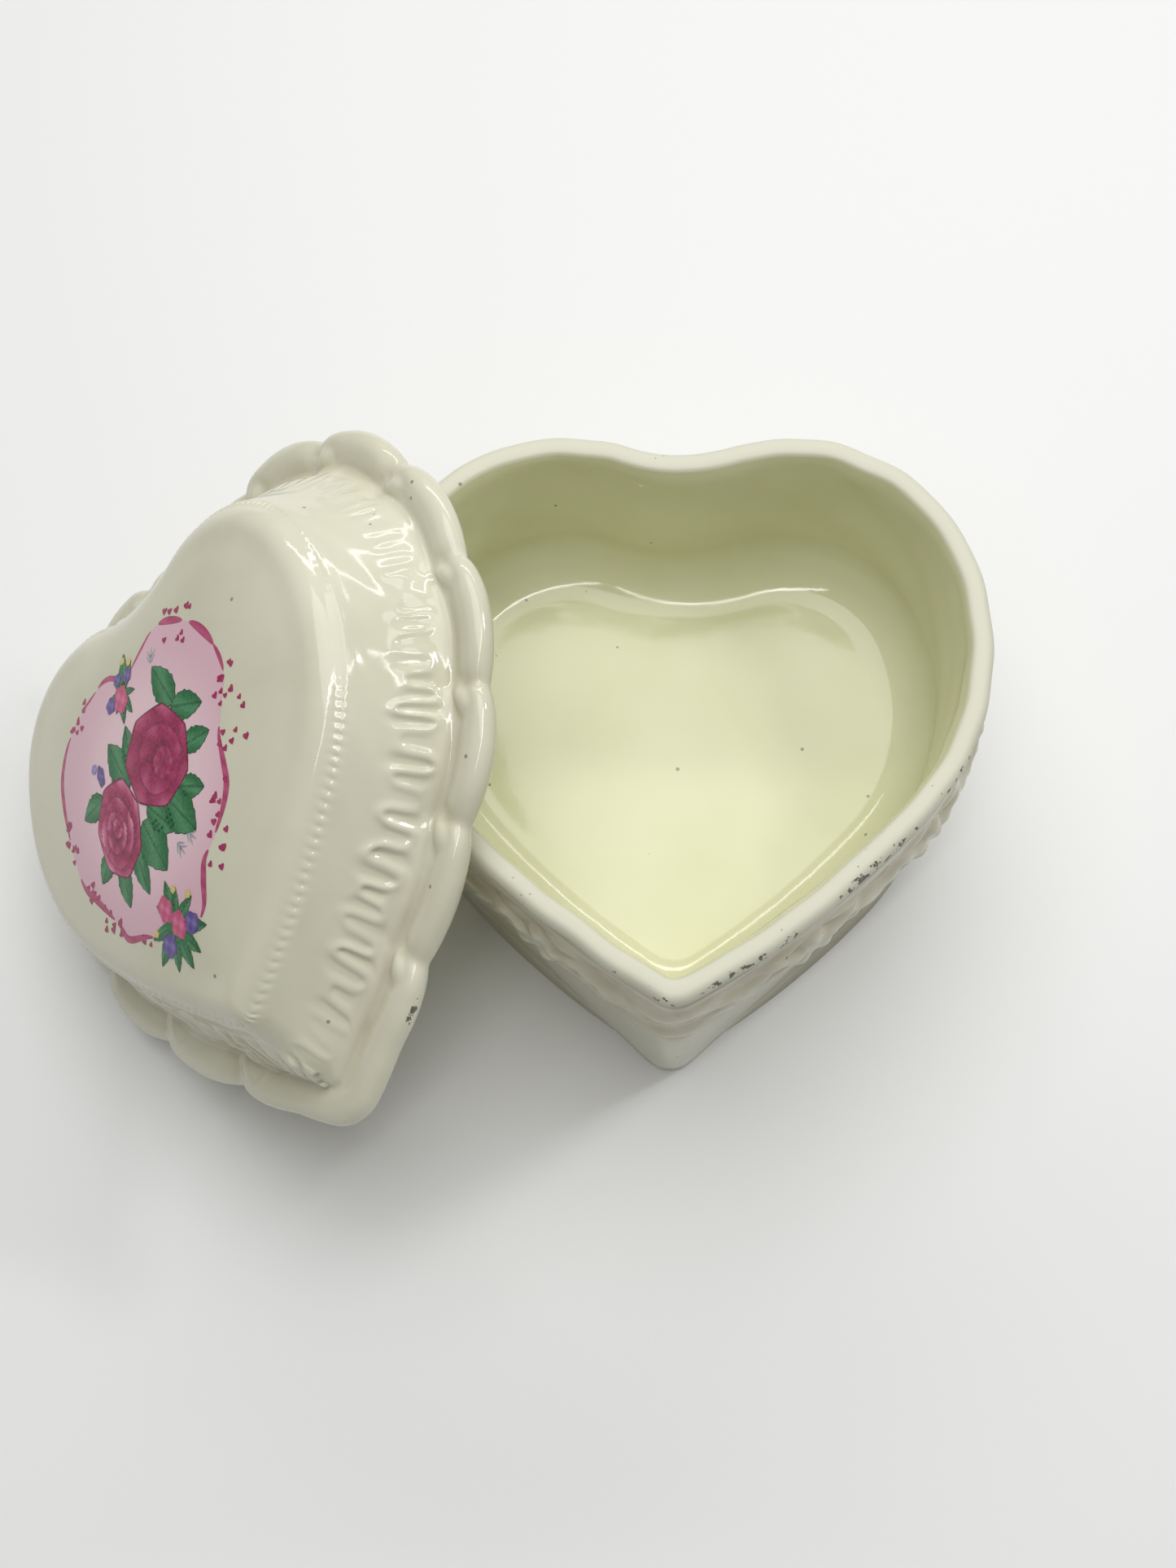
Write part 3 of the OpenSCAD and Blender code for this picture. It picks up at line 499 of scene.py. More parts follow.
def lid_profile():
    """The lid's section as (d, z) rows, and the first row of its lip, groove, skirt, rope edge and dome."""
    inner_top, ring = ROPE_H + DOME_RISE - LID_T, -8.9  # ring: the inner face of the locating ring
    under = [(-ROPE_IN - DOME_RUN, inner_top), (-ROPE_IN - 16, inner_top - 0.8),
             (-ROPE_IN - 10, inner_top - 1.8), (-ROPE_IN - 5, ROPE_H - 2.4), (-ROPE_IN - 2.6, ROPE_H - 8),
             (ring, 2), (ring + 0.3, -2.0), (ring + 0.6, -2.2), (-6.5, -2.2), (-6.2, -2.0), (-5.9, 0), (0, 0),
             (LIP_OUT - 2.0, 0)]
    rolled = [(-1.4, 0.05), (-0.4, 0.8), (0, 2.2), (-0.6, 3.6), (-2.2, 4.4), (-4.0, 4.5), (-5.4, 4.2),
              (-6.4, 3.95)]
    lip = through([(LIP_OUT + out, z) for out, z in rolled], 22)
    groove = [(LIP_OUT - 6.9, 3.95), (LIP_OUT - 7.4, 4.25)]
    skirt = through([(0.5, 4.7), (-0.8, 6.1), (-2.7, 8.6), (-4.4, 11.2), (-5.8, 13.6), (-7.2, 16.4),
                     (-8.0, 18.2)], 34)
    edge = through([(-8.3, 18.8), (-8.8, 19.4), (-ROPE_IN, ROPE_H + 0.1), (-9.9, ROPE_H + 1.2)], 8)
    dome_in = np.concatenate([np.linspace(1.0, 4.0, 7), np.linspace(4.9, DOME_RUN - 1.0, 12)])
    dome = [(-ROPE_IN - a, ROPE_H + 0.985 * float(dome_exact(a))) for a in dome_in]
    parts = [under, lip.tolist(), groove, skirt.tolist(), edge.tolist(), dome]
    return np.array(sum(parts, [])), np.cumsum([len(part) for part in parts[:-1]])


def lid_push(run, place, starts, t):
    """How far the lid's face stands out of its section, at each row and column."""
    lip_at, groove_at, skirt_at, edge_at, dome_at = starts
    across = run - run[lip_at + 6]  # from the lip's outer edge, over its top
    climb = run - run[skirt_at]  # from the groove up the skirt
    from_rope = run - run[(edge_at + dome_at) // 2]  # from the rope, in towards the dome
    s = half(t) * HALF_LENGTH
    on_lip = (place >= lip_at) & (place < skirt_at + 6)
    on_skirt = (place >= skirt_at) & (place < edge_at + 4)
    on_rope = (place >= edge_at - 4) & (place < dome_at + 6)
    push = (np.where(on_lip, lip_form(across, t) + knobs(s, across), 0)
            + np.where(on_skirt, gathers(s, climb, t) + fan(s, climb, t), 0)
            + np.where(on_rope, rope(s, from_rope, t), 0)
            + np.where((place >= groove_at) & (place < edge_at), 0.12 * wobble(t + run / 90, 30, 6), 0)
            + 1.3 * bell(from_tip(t), 8) * bell(climb - 5.0, 5.5) * (place >= lip_at + 8))
    for _ in range(SOFTENING):
        push = np.where(place < skirt_at, eased_round(push), push)
    return push


def lid_draw(place, starts, t):
    """How far the lip and the skirt's foot are drawn in from their section, by the scrolls and at the tip."""
    lip_at, groove_at, skirt_at = starts[:3]
    draw = SCALLOP * scallop_in(t) * (1 - smoothstep(0.9, 0.94, half(t))) + 0.6 + 1.5 * bell(from_tip(t), 14)
    draw *= (1 - 0.45 * smoothstep(groove_at - 8, skirt_at, place))
    draw *= (1 - smoothstep(skirt_at, skirt_at + 12, place))
    draw *= (place >= lip_at - 1) * (1 - 0.6 * smoothstep(0.9, 0.97, half(t)))
    for _ in range(SOFTENING):
        draw = eased_round(draw)
    return draw


def lid_piece():
    """The lid: its section taken round the heart, pushed out and drawn in, domed by the crown, and leaned."""
    profile, starts = lid_profile()
    lip_at, groove_at, skirt_at, edge_at, dome_at = starts
    place = np.arange(len(profile))[:, None]
    full = np.ones((len(profile), LID_COLUMNS))
    t = round_the_outline(LID_COLUMNS) * full
    run = np.concatenate([[0], np.cumsum(np.linalg.norm(np.diff(profile, axis=0), axis=1))])[:, None]
    push = lid_push(run, place, starts, t)
    tangent = np.gradient(profile, axis=0)
    tangent /= np.linalg.norm(tangent, axis=1)[:, None]
    out_d, out_z = tangent[:, 1:], -tangent[:, :1]  # away from the clay, seen from outside
    d = np.minimum(profile[:, :1] - lid_draw(place, starts, t) + push * out_d, LIP_OUT - 0.05)
    z = profile[:, 1:] + push * out_z
    z = np.where(place >= lip_at, np.maximum(z, 0.03), z)
    blunt = between(groove_at, skirt_at + 6, edge_at - 4, edge_at + 8, place)
    x, y = HEART.points(d, t, TIP_R + 4 * blunt)
    inward = -ROPE_IN - profile[:, :1]
    lifted = ROPE_H + CROWN.at(x, y)
    z = np.where(place >= dome_at, z + (lifted - profile[:, 1:]) * smoothstep(2.0, 7.5, inward), z)

    under_z = profile[0, 1]
    rows = closed_rows(x, y, z, under_z, DOME_SHARES, lambda a, b: ROPE_H + CROWN.at(a, b))

    uneven = np.clip(0.5 + 0.45 * wobble(t, 18, 9), 0.1, 1) * (1 - 0.8 * smoothstep(0.9, 0.98, half(t)))
    in_groove = 0.55 * bell(place - (skirt_at - 1.5), 3.0) * uneven
    pool = in_groove + 0.45 * np.clip(-push, 0, 1) * (place >= lip_at)
    grime = 0.85 * bell(place - lip_at - 6, 1.6) * bell(from_tip(t) - 20, 2.6) * (t <= 1)
    looks = {"pool": (np.clip(pool, 0, 1), 0, 0), "inside": ((place < lip_at) * full, 1, 0),
             "worn": (0 * full, 0, 0), "grime": (grime, 0, 0)}
    top = ROPE_H + float(CROWN.at(*np.array(MIDDLE)[:, None])[0])
    centres = leaned(np.array([[*MIDDLE, under_z], [*MIDDLE, top]]))
    return mesh_of_rows("lid", leaned(rows), looks, *centres)


# ---------- materials
class Graph:
    """A small helper that builds a node material."""

    def __init__(self, name):
        self.material = bpy.data.materials.new(name)
        self.material.use_nodes = True
        self.tree = self.material.node_tree
        self.shader = self.tree.nodes["Principled BSDF"]

    def add(self, kind, settings=None, **inputs):
        node = self.tree.nodes.new(kind)
        for key, value in (settings or {}).items():
            setattr(node, key, value)
        for key, value in inputs.items():
            self.put(node, key.replace("_", " "), value)
        return node

    def put(self, node, key, value):
        socket = node.inputs[int(key) if key.isdigit() else key]
        if isinstance(value, bpy.types.NodeSocket):
            self.tree.links.new(value, socket)
        else:
            socket.default_value = value

    def set(self, **inputs):
        for key, value in inputs.items():
            self.put(self.shader, key.replace("_", " "), value)

    def coords(self):
        return self.add("ShaderNodeTexCoord").outputs["Object"]

    def noise(self, scale, detail=3.0, rough=0.5):
        look = {"Scale": scale, "Detail": detail, "Roughness": rough}
        return self.add("ShaderNodeTexNoise", Vector=self.coords(), **look).outputs["Fac"]

    def ramp(self, factor, low, high, a=0.0, b=1.0):
        """Maps factor from low..high to a..b, smoothly."""
        span = {"From_Min": low, "From_Max": high, "To_Min": a, "To_Max": b}
        node = self.add("ShaderNodeMapRange", {"interpolation_type": "SMOOTHSTEP"}, Value=factor, **span)
        return node.outputs["Result"]

    def mix(self, factor, a, b):
        sockets = {"0": factor, "6": a, "7": b}
        return self.add("ShaderNodeMix", {"data_type": "RGBA"}, **sockets).outputs[2]

    def math(self, operation, a, b=0.0):
        return self.add("ShaderNodeMath", {"operation": operation}, **{"0": a, "1": b}).outputs[0]

    def times(self, a, b):
        return self.math("MULTIPLY", a, b)

    def attribute(self, name):
        return self.add("ShaderNodeAttribute", {"attribute_name": name}).outputs["Fac"]

    def bump(self, height, strength, distance):
        node = self.add("ShaderNodeBump", Height=height, Strength=strength, Distance=distance)
        self.set(Normal=node.outputs["Normal"])

    def specks(self, scale, radius, share):
        """1 on small round dots in some of the cells, else 0."""
        cells = self.add("ShaderNodeTexVoronoi", Vector=self.coords(), Scale=scale)
        dot = self.ramp(cells.outputs["Distance"], radius, radius * 0.6)
        chosen = self.add("ShaderNodeSeparateColor", Color=cells.outputs["Color"])
        return self.times(dot, self.math("LESS_THAN", chosen.outputs[0], share))


def linear(colours):
    """sRGB colours from 0 to 255 as linear light from 0 to 1."""
    c = np.asarray(colours, float) / 255
    return np.where(c <= 0.04045, c / 12.92, ((c + 0.055) / 1.055) ** 2.4)


def rgb(r, g, b):
    """An sRGB colour from 0 to 255 for a shader socket."""
    return (*linear((r, g, b)).tolist(), 1.0)


def glaze(name, colours, gloss):
    """Ivory glaze over cast porcelain: pooled tint in the hollows, a yellower glaze inside, specks, a worn
    rim and dark marks where grime has got in."""
    clean, warm, inner, inner_warm, bare = [rgb(*colour) for colour in colours]
    g = Graph(name)
    colour = g.mix(g.ramp(g.noise(38, 4), 0.35, 0.7), clean, warm)
    pooled = g.times(g.attribute("pool"), g.ramp(g.noise(120, 3), 0.3, 0.62, 0.35, 1.0))
    colour = g.mix(g.times(pooled, 0.62), colour, rgb(158, 128, 84))
    inner_colour = g.mix(g.ramp(g.noise(26, 3), 0.35, 0.7), inner, inner_warm)
    colour = g.mix(g.attribute("inside"), colour, inner_colour)
    colour = g.mix(g.attribute("worn"), colour, bare)
    dirt = g.times(g.attribute("grime"), g.ramp(g.noise(650, 4, 0.6), 0.5, 0.6))
    dirt = g.ramp(g.times(dirt, g.ramp(g.noise(70, 2), 0.36, 0.56)), 0.1, 0.26)
    pits = g.times(g.attribute("worn"), g.specks(700, 0.16, 0.12))
    colour = g.mix(g.times(pits, 0.5), colour, rgb(96, 84, 62))
    colour = g.mix(g.times(dirt, 0.85), colour, rgb(62, 56, 44))
    colour = g.mix(g.times(g.specks(170, 0.075, 0.3), 0.6), colour, rgb(70, 58, 42))
    g.set(Base_Color=colour, IOR=1.5)
    uneven = g.ramp(g.noise(60, 3), 0.3, 0.7, gloss, gloss + 0.07)
    g.set(Roughness=g.math("ADD", uneven, g.times(g.attribute("worn"), 0.42)))
    g.bump(g.noise(210, 3), 0.12, 0.0004)
    return g.material


def metal(name, colour, tarnish, rough, brush):
    """A worked metal: a little tarnish, fine tool marks and uneven gloss."""
    g = Graph(name)
    g.set(Base_Color=g.mix(g.ramp(g.noise(160, 4), 0.42, 0.72, 0.0, 0.55), colour, tarnish), Metallic=1.0)
    g.set(Roughness=g.ramp(g.noise(brush, 2), 0.3, 0.7, rough * 0.8, rough * 1.25))
    g.bump(g.noise(brush * 1.7, 2), 0.15, 0.00005)
    return g.material


def dress(material, names):
    """Gives the frame's own pieces of these names a material."""
    for name in names:
        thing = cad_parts[name]
        thing.data.materials.clear()
        thing.data.materials.append(material)


# each finish: its colour and tarnish, roughness, the scale of its tool marks, and the pieces that have it
FINISHES = {
    "stamped_brass": ((196, 158, 84), (150, 112, 56), 0.32, 900, [
        "bedplate", "drive_end_bracket", "governor_end_bracket", "governor_frame", "drive_wheel",
        "cylinder_wheel", "governor_wheel", "cylinder_ends"]),
    "turned_brass": ((206, 170, 96), (168, 128, 66), 0.2, 1600, [
        "music_cylinder", "spring_housing", "worm_wheel"]),
    "bright_steel": ((196, 196, 192), (160, 156, 148), 0.24, 900, [
        "spring_arbor", "cylinder_arbor", "cylinder_pinion", "cylinder_pins", "comb", "fan_spindle",
        "ratchet_wheel"]),
    "blued_spring_steel": ((58, 70, 98), (92, 76, 60), 0.28, 900, ["mainspring", "click_spring"]),
    "nickel_plate": ((206, 202, 190), (176, 166, 144), 0.18, 900, [
        "winding_key", "bracket_screws", "comb_screws", "governor_screws"]),
    "zinc_plate": ((178, 180, 180), (148, 150, 146), 0.36, 900, ["movement_screws"]),
    "lead_weights": ((112, 114, 118), (84, 86, 90), 0.5, 900, ["bass_weights"]),
    "spun_aluminium": ((208, 210, 210), (180, 182, 180), 0.3, 900, ["air_brake"]),
}


def movement_materials():
    """The finish of every piece of the movement, and of the key, the cover and the screws."""
    for name, (colour, tarnish, rough, brush, pieces) in FINISHES.items():
        dress(metal(name, rgb(*colour), rgb(*tarnish), rough, brush), pieces)
    board = Graph("cover_board")
    fibres = board.ramp(board.noise(320, 6, 0.7), 0.35, 0.7)
    board.set(Base_Color=board.mix(fibres, rgb(96, 66, 44), rgb(58, 38, 26)), Roughness=0.72)
    board.bump(board.noise(900, 4), 0.3, 0.0002)
    dress(board.material, ["bottom_cover"])
    ruby = Graph("ruby")
    red = ruby.mix(ruby.noise(400), rgb(150, 18, 44), rgb(112, 10, 34))
    ruby.set(Base_Color=red, Roughness=0.08, IOR=1.76)
    dress(ruby.material, ["end_stone"])


# ---------- the decal
PINK, PINK_EDGE = (236, 206, 212), (222, 182, 194)
ROSE, ROSE_DEEP, ROSE_PALE = (162, 46, 92), (112, 28, 62), (230, 152, 178)
LEAF, LEAF_DEEP, LEAF_PALE = (34, 112, 64), (26, 72, 50), (86, 152, 104)
BUD, BUD_PALE, YELLOW, YELLOW_PALE = (196, 80, 122), (226, 140, 168), (208, 190, 108), (226, 214, 150)
BLOOM, BLOOM_PALE, BLOOM_PALEST, GREY_BLUE = (92, 74, 140), (140, 128, 184), (176, 170, 206), (160, 168, 174)
LAYER = 0.022  # each layer of the print stands this far over the one below


def tint(a, b, f):
    """From colour a to colour b by f, which may differ from point to point."""
    f = np.clip(np.asarray(f, float), 0, 1)[:, None]
    return np.array(a, float) * (1 - f) + np.array(b, float) * f


def closed_curve(points, per):
    """A smooth closed curve through the points."""
    p = np.array(points, float)
    f = (np.arange(per) / per)[:, None]
    before, after, beyond = np.roll(p, 1, axis=0), np.roll(p, -1, axis=0), np.roll(p, -2, axis=0)
    return np.vstack([spline(a, b, c, e, f) for a, b, c, e in zip(before, p, after, beyond)])


class Print:
    """One printed piece: thin coloured patches laid on the dome, each with its colour at every point."""

    def __init__(self, name):
        self.name, self.points, self.faces, self.colours = name, [], [], []

    def patch(self, outline, layer, paint, spacing=1.2):
        """Fills an outline in the lid's own plan; paint gives the colours at an array of points."""
        outline = np.asarray(outline, float)
        low, high = outline.min(0), outline.max(0)
        gx, gy = np.meshgrid(np.arange(low[0], high[0], spacing), np.arange(low[1], high[1], spacing))
        fill = np.column_stack([gx.ravel(), gy.ravel()])
        fill = fill[inside_of(outline, *fill.T)]
        gap = np.linalg.norm(fill[:, None] - outline[None], axis=2).min(axis=1)
        points = np.vstack([outline, fill[gap > 0.35 * spacing]])
        edges = [(k, (k + 1) % len(outline)) for k in range(len(outline))]
        verts, _, faces, *_ = delaunay_2d_cdt([Vector(p) for p in points], edges, [], 1, 1e-6)
        plan = np.array([tuple(v) for v in verts])
        start = sum(len(p) for p in self.points)
        self.points.append(np.column_stack([plan, ROPE_H + CROWN.at(*plan.T) + layer * LAYER]))
        self.colours.append(linear(paint(plan)))
        self.faces += [tuple(start + i for i in face) for face in faces]

    def finish(self, material):
        """Makes the piece's mesh, which faces out of the dome."""
        points = np.vstack(self.points)
        mesh = smooth_mesh(self.name, leaned(points), self.faces)
        layer = mesh.color_attributes.new("paint", "FLOAT_COLOR", "POINT")
        colours = np.column_stack([np.vstack(self.colours), np.ones(len(points))])
        layer.data.foreach_set("color", colours.ravel())
        mesh.update()
        up = Vector(LEAN @ np.array([0, 0, 1.0]))
        if sum(p.normal.dot(up) for p in mesh.polygons) < 0:
            mesh.flip_normals()
        mesh.materials.append(material)
        thing = linked(self.name, mesh)
        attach(thing, "lid")


def plain(colour):
    """A paint of one colour."""
    return lambda points: np.tile(np.array(colour, float), (len(points), 1))


# the pink field's edge, clockwise from the notch, in millimetres on the lid's own plan
BORDER = closed_curve([
    (-3.2, 10.6), (-0.6, 12.2), (3.5, 14.4), (7, 16), (10.5, 15.8), (15, 13.4), (18.6, 10.4), (21.4, 6.2),
    (23, 1.5), (23, -3), (20.8, -7), (18.4, -11.5), (17.6, -16.4), (16.8, -20), (14.2, -23.4), (10, -26.8),
    (6.6, -28.8), (4.8, -31.8), (2.5, -36), (-3, -38.5), (-8.5, -36.5), (-13.8, -33.2), (-19.4, -31),
    (-20.6, -28), (-23, -24), (-25.4, -20.4), (-27.8, -17), (-28.7, -12), (-28.6, -5), (-28.2, 0), (-27, 5),
    (-23.8, 9.4), (-19.7, 12.1), (-16, 13.6), (-12.5, 14.5), (-9, 15.2), (-5.8, 14)], 8)

# stretches of the border with ribbon on them: its first and last point, and the ribbon's width
RIBBONS = [(8, 24, 0.6), (30, 42, 1.5), (46, 60, 1.6), (60, 70, 0.9), (86, 118, 1.4), (124, 146, 1.4),
           (166, 186, 1.3), (188, 212, 1.4), (222, 252, 1.2), (262, 274, 0.6), (276, 294, 1.1)]

# trails of tiny hearts: from, to, how many, and how far they stray
HEARTS = [((12, 17.5), (19.5, 13.4), 5, 0.5), ((11, 12.6), (16.5, 9.8), 4, 0.8),
          ((23.5, 0), (19.8, -14), 17, 1.8), ((15, -20.5), (8.5, -30.5), 13, 1.7),
          ((-15.5, 14.6), (-21.6, 10.8), 9, 0.9), ((-28.2, -3), (-28.6, -11), 10, 0.7),
          ((-26.8, -18), (-22, -29), 17, 1.3), ((-15.5, -31), (-13.5, -35), 3, 0.7),
          ((24, -15), (26, -10), 2, 0.4)]

# leaves round the two roses: tip, root, and width as a share of the length
LEAVES = [((5.9, 9.4), (9.6, -0.5), 0.55), ((16.6, -4.2), (8.6, -0.5), 0.6), ((16.6, -9.6), (9, -8.6), 0.6),
          ((-10.4, 3), (-7, -8), 0.55), ((-4.4, 3.4), (-5.5, -6), 0.45), ((7, -23.4), (2, -14.5), 0.75),
          ((11.8, -17.8), (6, -14.5), 0.65), ((-3, -26), (-5.8, -15), 0.7), ((-22.4, -6), (-15, -5.5), 0.7),
          ((-22, -19), (-16.5, -15.5), 0.7), ((-9.4, -27.4), (-9.8, -18), 0.45),
          ((-15.8, -26.8), (-14.6, -18.5), 0.5), ((2, -21), (-3.5, -13), 0.6)]

SPRIGS = [((1.5, -23), -1.2), ((4.5, -22.5), -0.9), ((5.6, 10.2), 1.2)]  # root and lean

# the two posies: the middle, leaves (degrees and length), buds and blossoms (place and size), and yellow dots
POSIES = [
    ((-3.6, 9.6),
     [(75, 7.5), (50, 6), (110, 5), (-20, 4), (-70, 5.5), (-100, 6), (-135, 4), (170, 4.5)],
     [((-4.2, 8.6), 2.1)],
     [((-7.4, 9.2), 1.5), ((-4.4, 12.8), 1.2), ((-1.4, 12), 1.3)],
     [(-2.2, 15.5), (-0.4, 14.2)]),
    ((-5.6, -35),
     [(82, 8), (60, 6.5), (120, 6), (20, 7), (-25, 8.5), (-60, 8), (-85, 8.5), (-115, 8), (-150, 8.5),
      (175, 7)],
     [((-6.6, -31.6), 1.9), ((-4.4, -35.4), 2.0)],
     [((-8.6, -37.4), 2.0), ((-1.2, -36.6), 1.9)],
     [(-11, -34), (0.2, -32), (-3, -29.5)]),
]


def ribbon(sheet, first, last, width):
    """A ribbon along the border, swelling in its middle."""
    line = BORDER[np.arange(first, last + 1) % len(BORDER)]
    along = np.linspace(0, 1, len(line))
    slope = np.gradient(line, axis=0)
    across = np.column_stack([-slope[:, 1], slope[:, 0]]) / np.linalg.norm(slope, axis=1)[:, None]
    half_width = (0.5 * width * (0.25 + 0.75 * np.sin(math.pi * along) ** 0.7))[:, None]
    outline = np.vstack([line + across * half_width, (line - across * half_width)[::-1]])

    def paint(points):
        return tint(ROSE, ROSE_PALE, 0.25 + 0.1 * np.sin(points @ np.array([2, 1.5])))

    sheet.patch(outline, 2, paint, 0.5)


def tiny_heart(sheet, at, size, turn):
    """A heart of one colour, turned a little."""
    a = np.linspace(0, 2 * math.pi, 14, endpoint=False)
    shape = np.column_stack([np.sin(a) ** 3, 0.85 * np.cos(a) - 0.3 * np.cos(2 * a) - 0.12 * np.cos(3 * a)])
    c, s = math.cos(turn), math.sin(turn)
    sheet.patch(np.array(at) + size * shape @ np.array([[c, s], [-s, c]]), 2, plain(ROSE))


def leaf_shape(tip, base, width):
    """A pointed leaf with toothed edges."""
    along = tip - base
    across = np.array([-along[1], along[0]])
    f = np.linspace(0, 1, 15)
    swell = np.sin(math.pi * f ** 0.8) ** 0.8 * (1 + 0.07 * np.sin(f * 34))
    spine, side = base + f[:, None] * along, 0.5 * width * swell[:, None] * across
    return np.vstack([spine + side, (spine - side)[-2:0:-1]])


def leaf(sheet, tip, base, width, layer):
    """A leaf with a dark edge, a pale body, a midrib and side veins."""
    tip, base = np.array(tip, float), np.array(base, float)
    along = tip - base
    length = np.linalg.norm(along)
    way = along / length
    shape = leaf_shape(tip, base, width)
    middle = base + 0.5 * along

    def paint(points):
        a, b = (points - base) @ way, (points - base) @ np.array([-way[1], way[0]])
        f = a / length
        vein = np.cos((a - 0.9 * np.abs(b)) * 4.2) ** 8
        tone = 0.42 + 0.42 * np.sin(b * 6.6 / (width * length) + f * 4)
        colours = tint(LEAF, LEAF_PALE, tone)
        dark = np.clip(0.75 * bell(b, 0.14) + 0.3 * vein, 0, 1)[:, None]
        return colours * (1 - dark) + np.array(LEAF_DEEP) * dark

    sheet.patch(shape, layer, plain(LEAF_DEEP))
    sheet.patch(middle + (shape - middle) * (1 - 0.35 / max(length, 2)), layer + 1, paint, 0.32)


FULL_ROSE = [(1.0, 7), (0.7, 3), (0.34, 2)]  # rings of petals: how far each goes out, and its petals
OPEN_ROSE = [(1.0, 7), (0.74, 4), (0.46, 3), (0.22, 2)]


def petal_edge(angle, reach, count, phase):
    """How far out a ring of petals goes in a direction, and 1 at a petal's middle to 0 between two."""
    turn = 0.5 * count * (angle - phase)
    return reach * (1 - 0.07 * np.abs(np.sin(turn))), np.abs(np.cos(turn))


def rose(sheet, centre, wide, tall, turn, rings, pale, seed):
    """Rings of petals, each pale along its edge and deep where the next ring stands over it."""
    r = np.random.default_rng(seed)
    phases = r.uniform(0, 2 * math.pi, len(rings))
    drift = np.cumsum(np.vstack([[0, 0], r.normal(0, 0.06, (len(rings) - 1, 2))]), axis=0)
    centre = np.array(centre, float)
    spin = np.array([[math.cos(turn), math.sin(turn)], [-math.sin(turn), math.cos(turn)]])

    def paint(points):
        a, b = ((points - centre) @ spin.T / np.array([wide, tall])).T
        a, b = a - 0.08 * (1 - a ** 2 - b ** 2), b + 0.12 * (1 - a ** 2 - b ** 2)
        tone = np.zeros(len(points))
        for k, (far, count) in enumerate(rings):
            off_a, off_b = a - drift[k, 0], b - drift[k, 1]
            reach = np.hypot(off_a, off_b)
            bent = np.arctan2(off_b, off_a) + 1.3 * (far - reach)
            edge, lobe = petal_edge(bent, far, count, phases[k])
            inner = rings[k + 1][0] if k + 1 < len(rings) else 0
            depth = np.clip((edge - reach) / (edge - 0.82 * inner), 0, 1)
            sheen = (0.35 + 0.65 * lobe) * (0.6 + 0.4 * np.sin(bent * 2 + k))
            own = pale * (1 - depth) ** 1.4 * sheen - 0.55 * depth ** 3
            own = own - 0.3 * (1 - lobe) ** 6 + 0.14 * np.sin(7 * bent + 3 * k + 4 * reach)
            own = np.where(edge - reach < 0.025, -0.5, own)
            tone = np.where(reach < edge, own, tone)
        return np.where(tone[:, None] > 0, tint(ROSE, ROSE_PALE, tone), tint(ROSE, ROSE_DEEP, -tone))

    angle = np.linspace(0, 2 * math.pi, 70, endpoint=False)
    edge, _ = petal_edge(angle, *rings[0], phases[0])
    unit = np.column_stack([edge * np.cos(angle), edge * np.sin(angle)]) * np.array([wide, tall])
    sheet.patch(centre + unit @ spin, 5, plain(ROSE_DEEP))
    sheet.patch(centre + 0.975 * unit @ spin, 6, paint, 0.26)


def bloom(sheet, at, size, colour, pale, layer, stretch=1.0):
    """A small round bud or blossom with a mottled face."""
    a = np.linspace(0, 2 * math.pi, 22, endpoint=False)
    edge = size * (1 + 0.09 * np.cos(5 * a + at[0]))
    outline = np.array(at) + np.column_stack([edge * np.cos(a), stretch * edge * np.sin(a)])

    def paint(points):
        off_x, off_y = ((points - np.array(at)) / size).T
        tone = 0.35 + 0.5 * np.sin(off_x * 5) * np.cos(off_y * 4 + 1) - 0.4 * np.hypot(off_x, off_y) ** 3
        return tint(colour, pale, tone)

    sheet.patch(outline, layer, paint, 0.3)


def sprig(sheet, at, turn):
    """A pale spray of small strokes on one stem."""
    for k in range(6):
        root = np.array(at) + 0.9 * (k // 3) * Heart.way(turn)
        tip = root + 2.1 * Heart.way(turn + (k % 3 - 1) * 0.7)
        sheet.patch(leaf_shape(tip, root, 0.2), 2, plain(GREY_BLUE))


def posy(sheet, at, stems, buds, blossoms, dots):
    """Leaves fanned about a centre, then buds, blossoms and yellow dots over them."""
    for turn, length in stems:
        leaf(sheet, np.array(at) + length * Heart.way(math.radians(turn)), at, 0.36, 4)
    for spot, size in buds:
        bloom(sheet, spot, size, BUD, BUD_PALE, 7, 1.25)
    for spot, size in blossoms:
        bloom(sheet, spot, size, BLOOM, BLOOM_PALE, 7)
    for spot in dots:
        bloom(sheet, spot, 0.7, YELLOW, YELLOW_PALE, 7)


def print_material():
    """The decal's own colours under the lid's glaze."""
    g = Graph("decal_glaze")
    colour = g.add("ShaderNodeVertexColor", {"layer_name": "paint"}).outputs["Color"]
    grain = g.ramp(g.noise(1500, 2), 0.3, 0.7, 0.0, 0.05)
    g.set(Base_Color=g.mix(grain, colour, rgb(236, 224, 210)), IOR=1.5)
    g.set(Roughness=g.ramp(g.noise(60, 3), 0.3, 0.7, 0.1, 0.17))
    g.bump(g.noise(210, 3), 0.12, 0.0004)
    return g.material


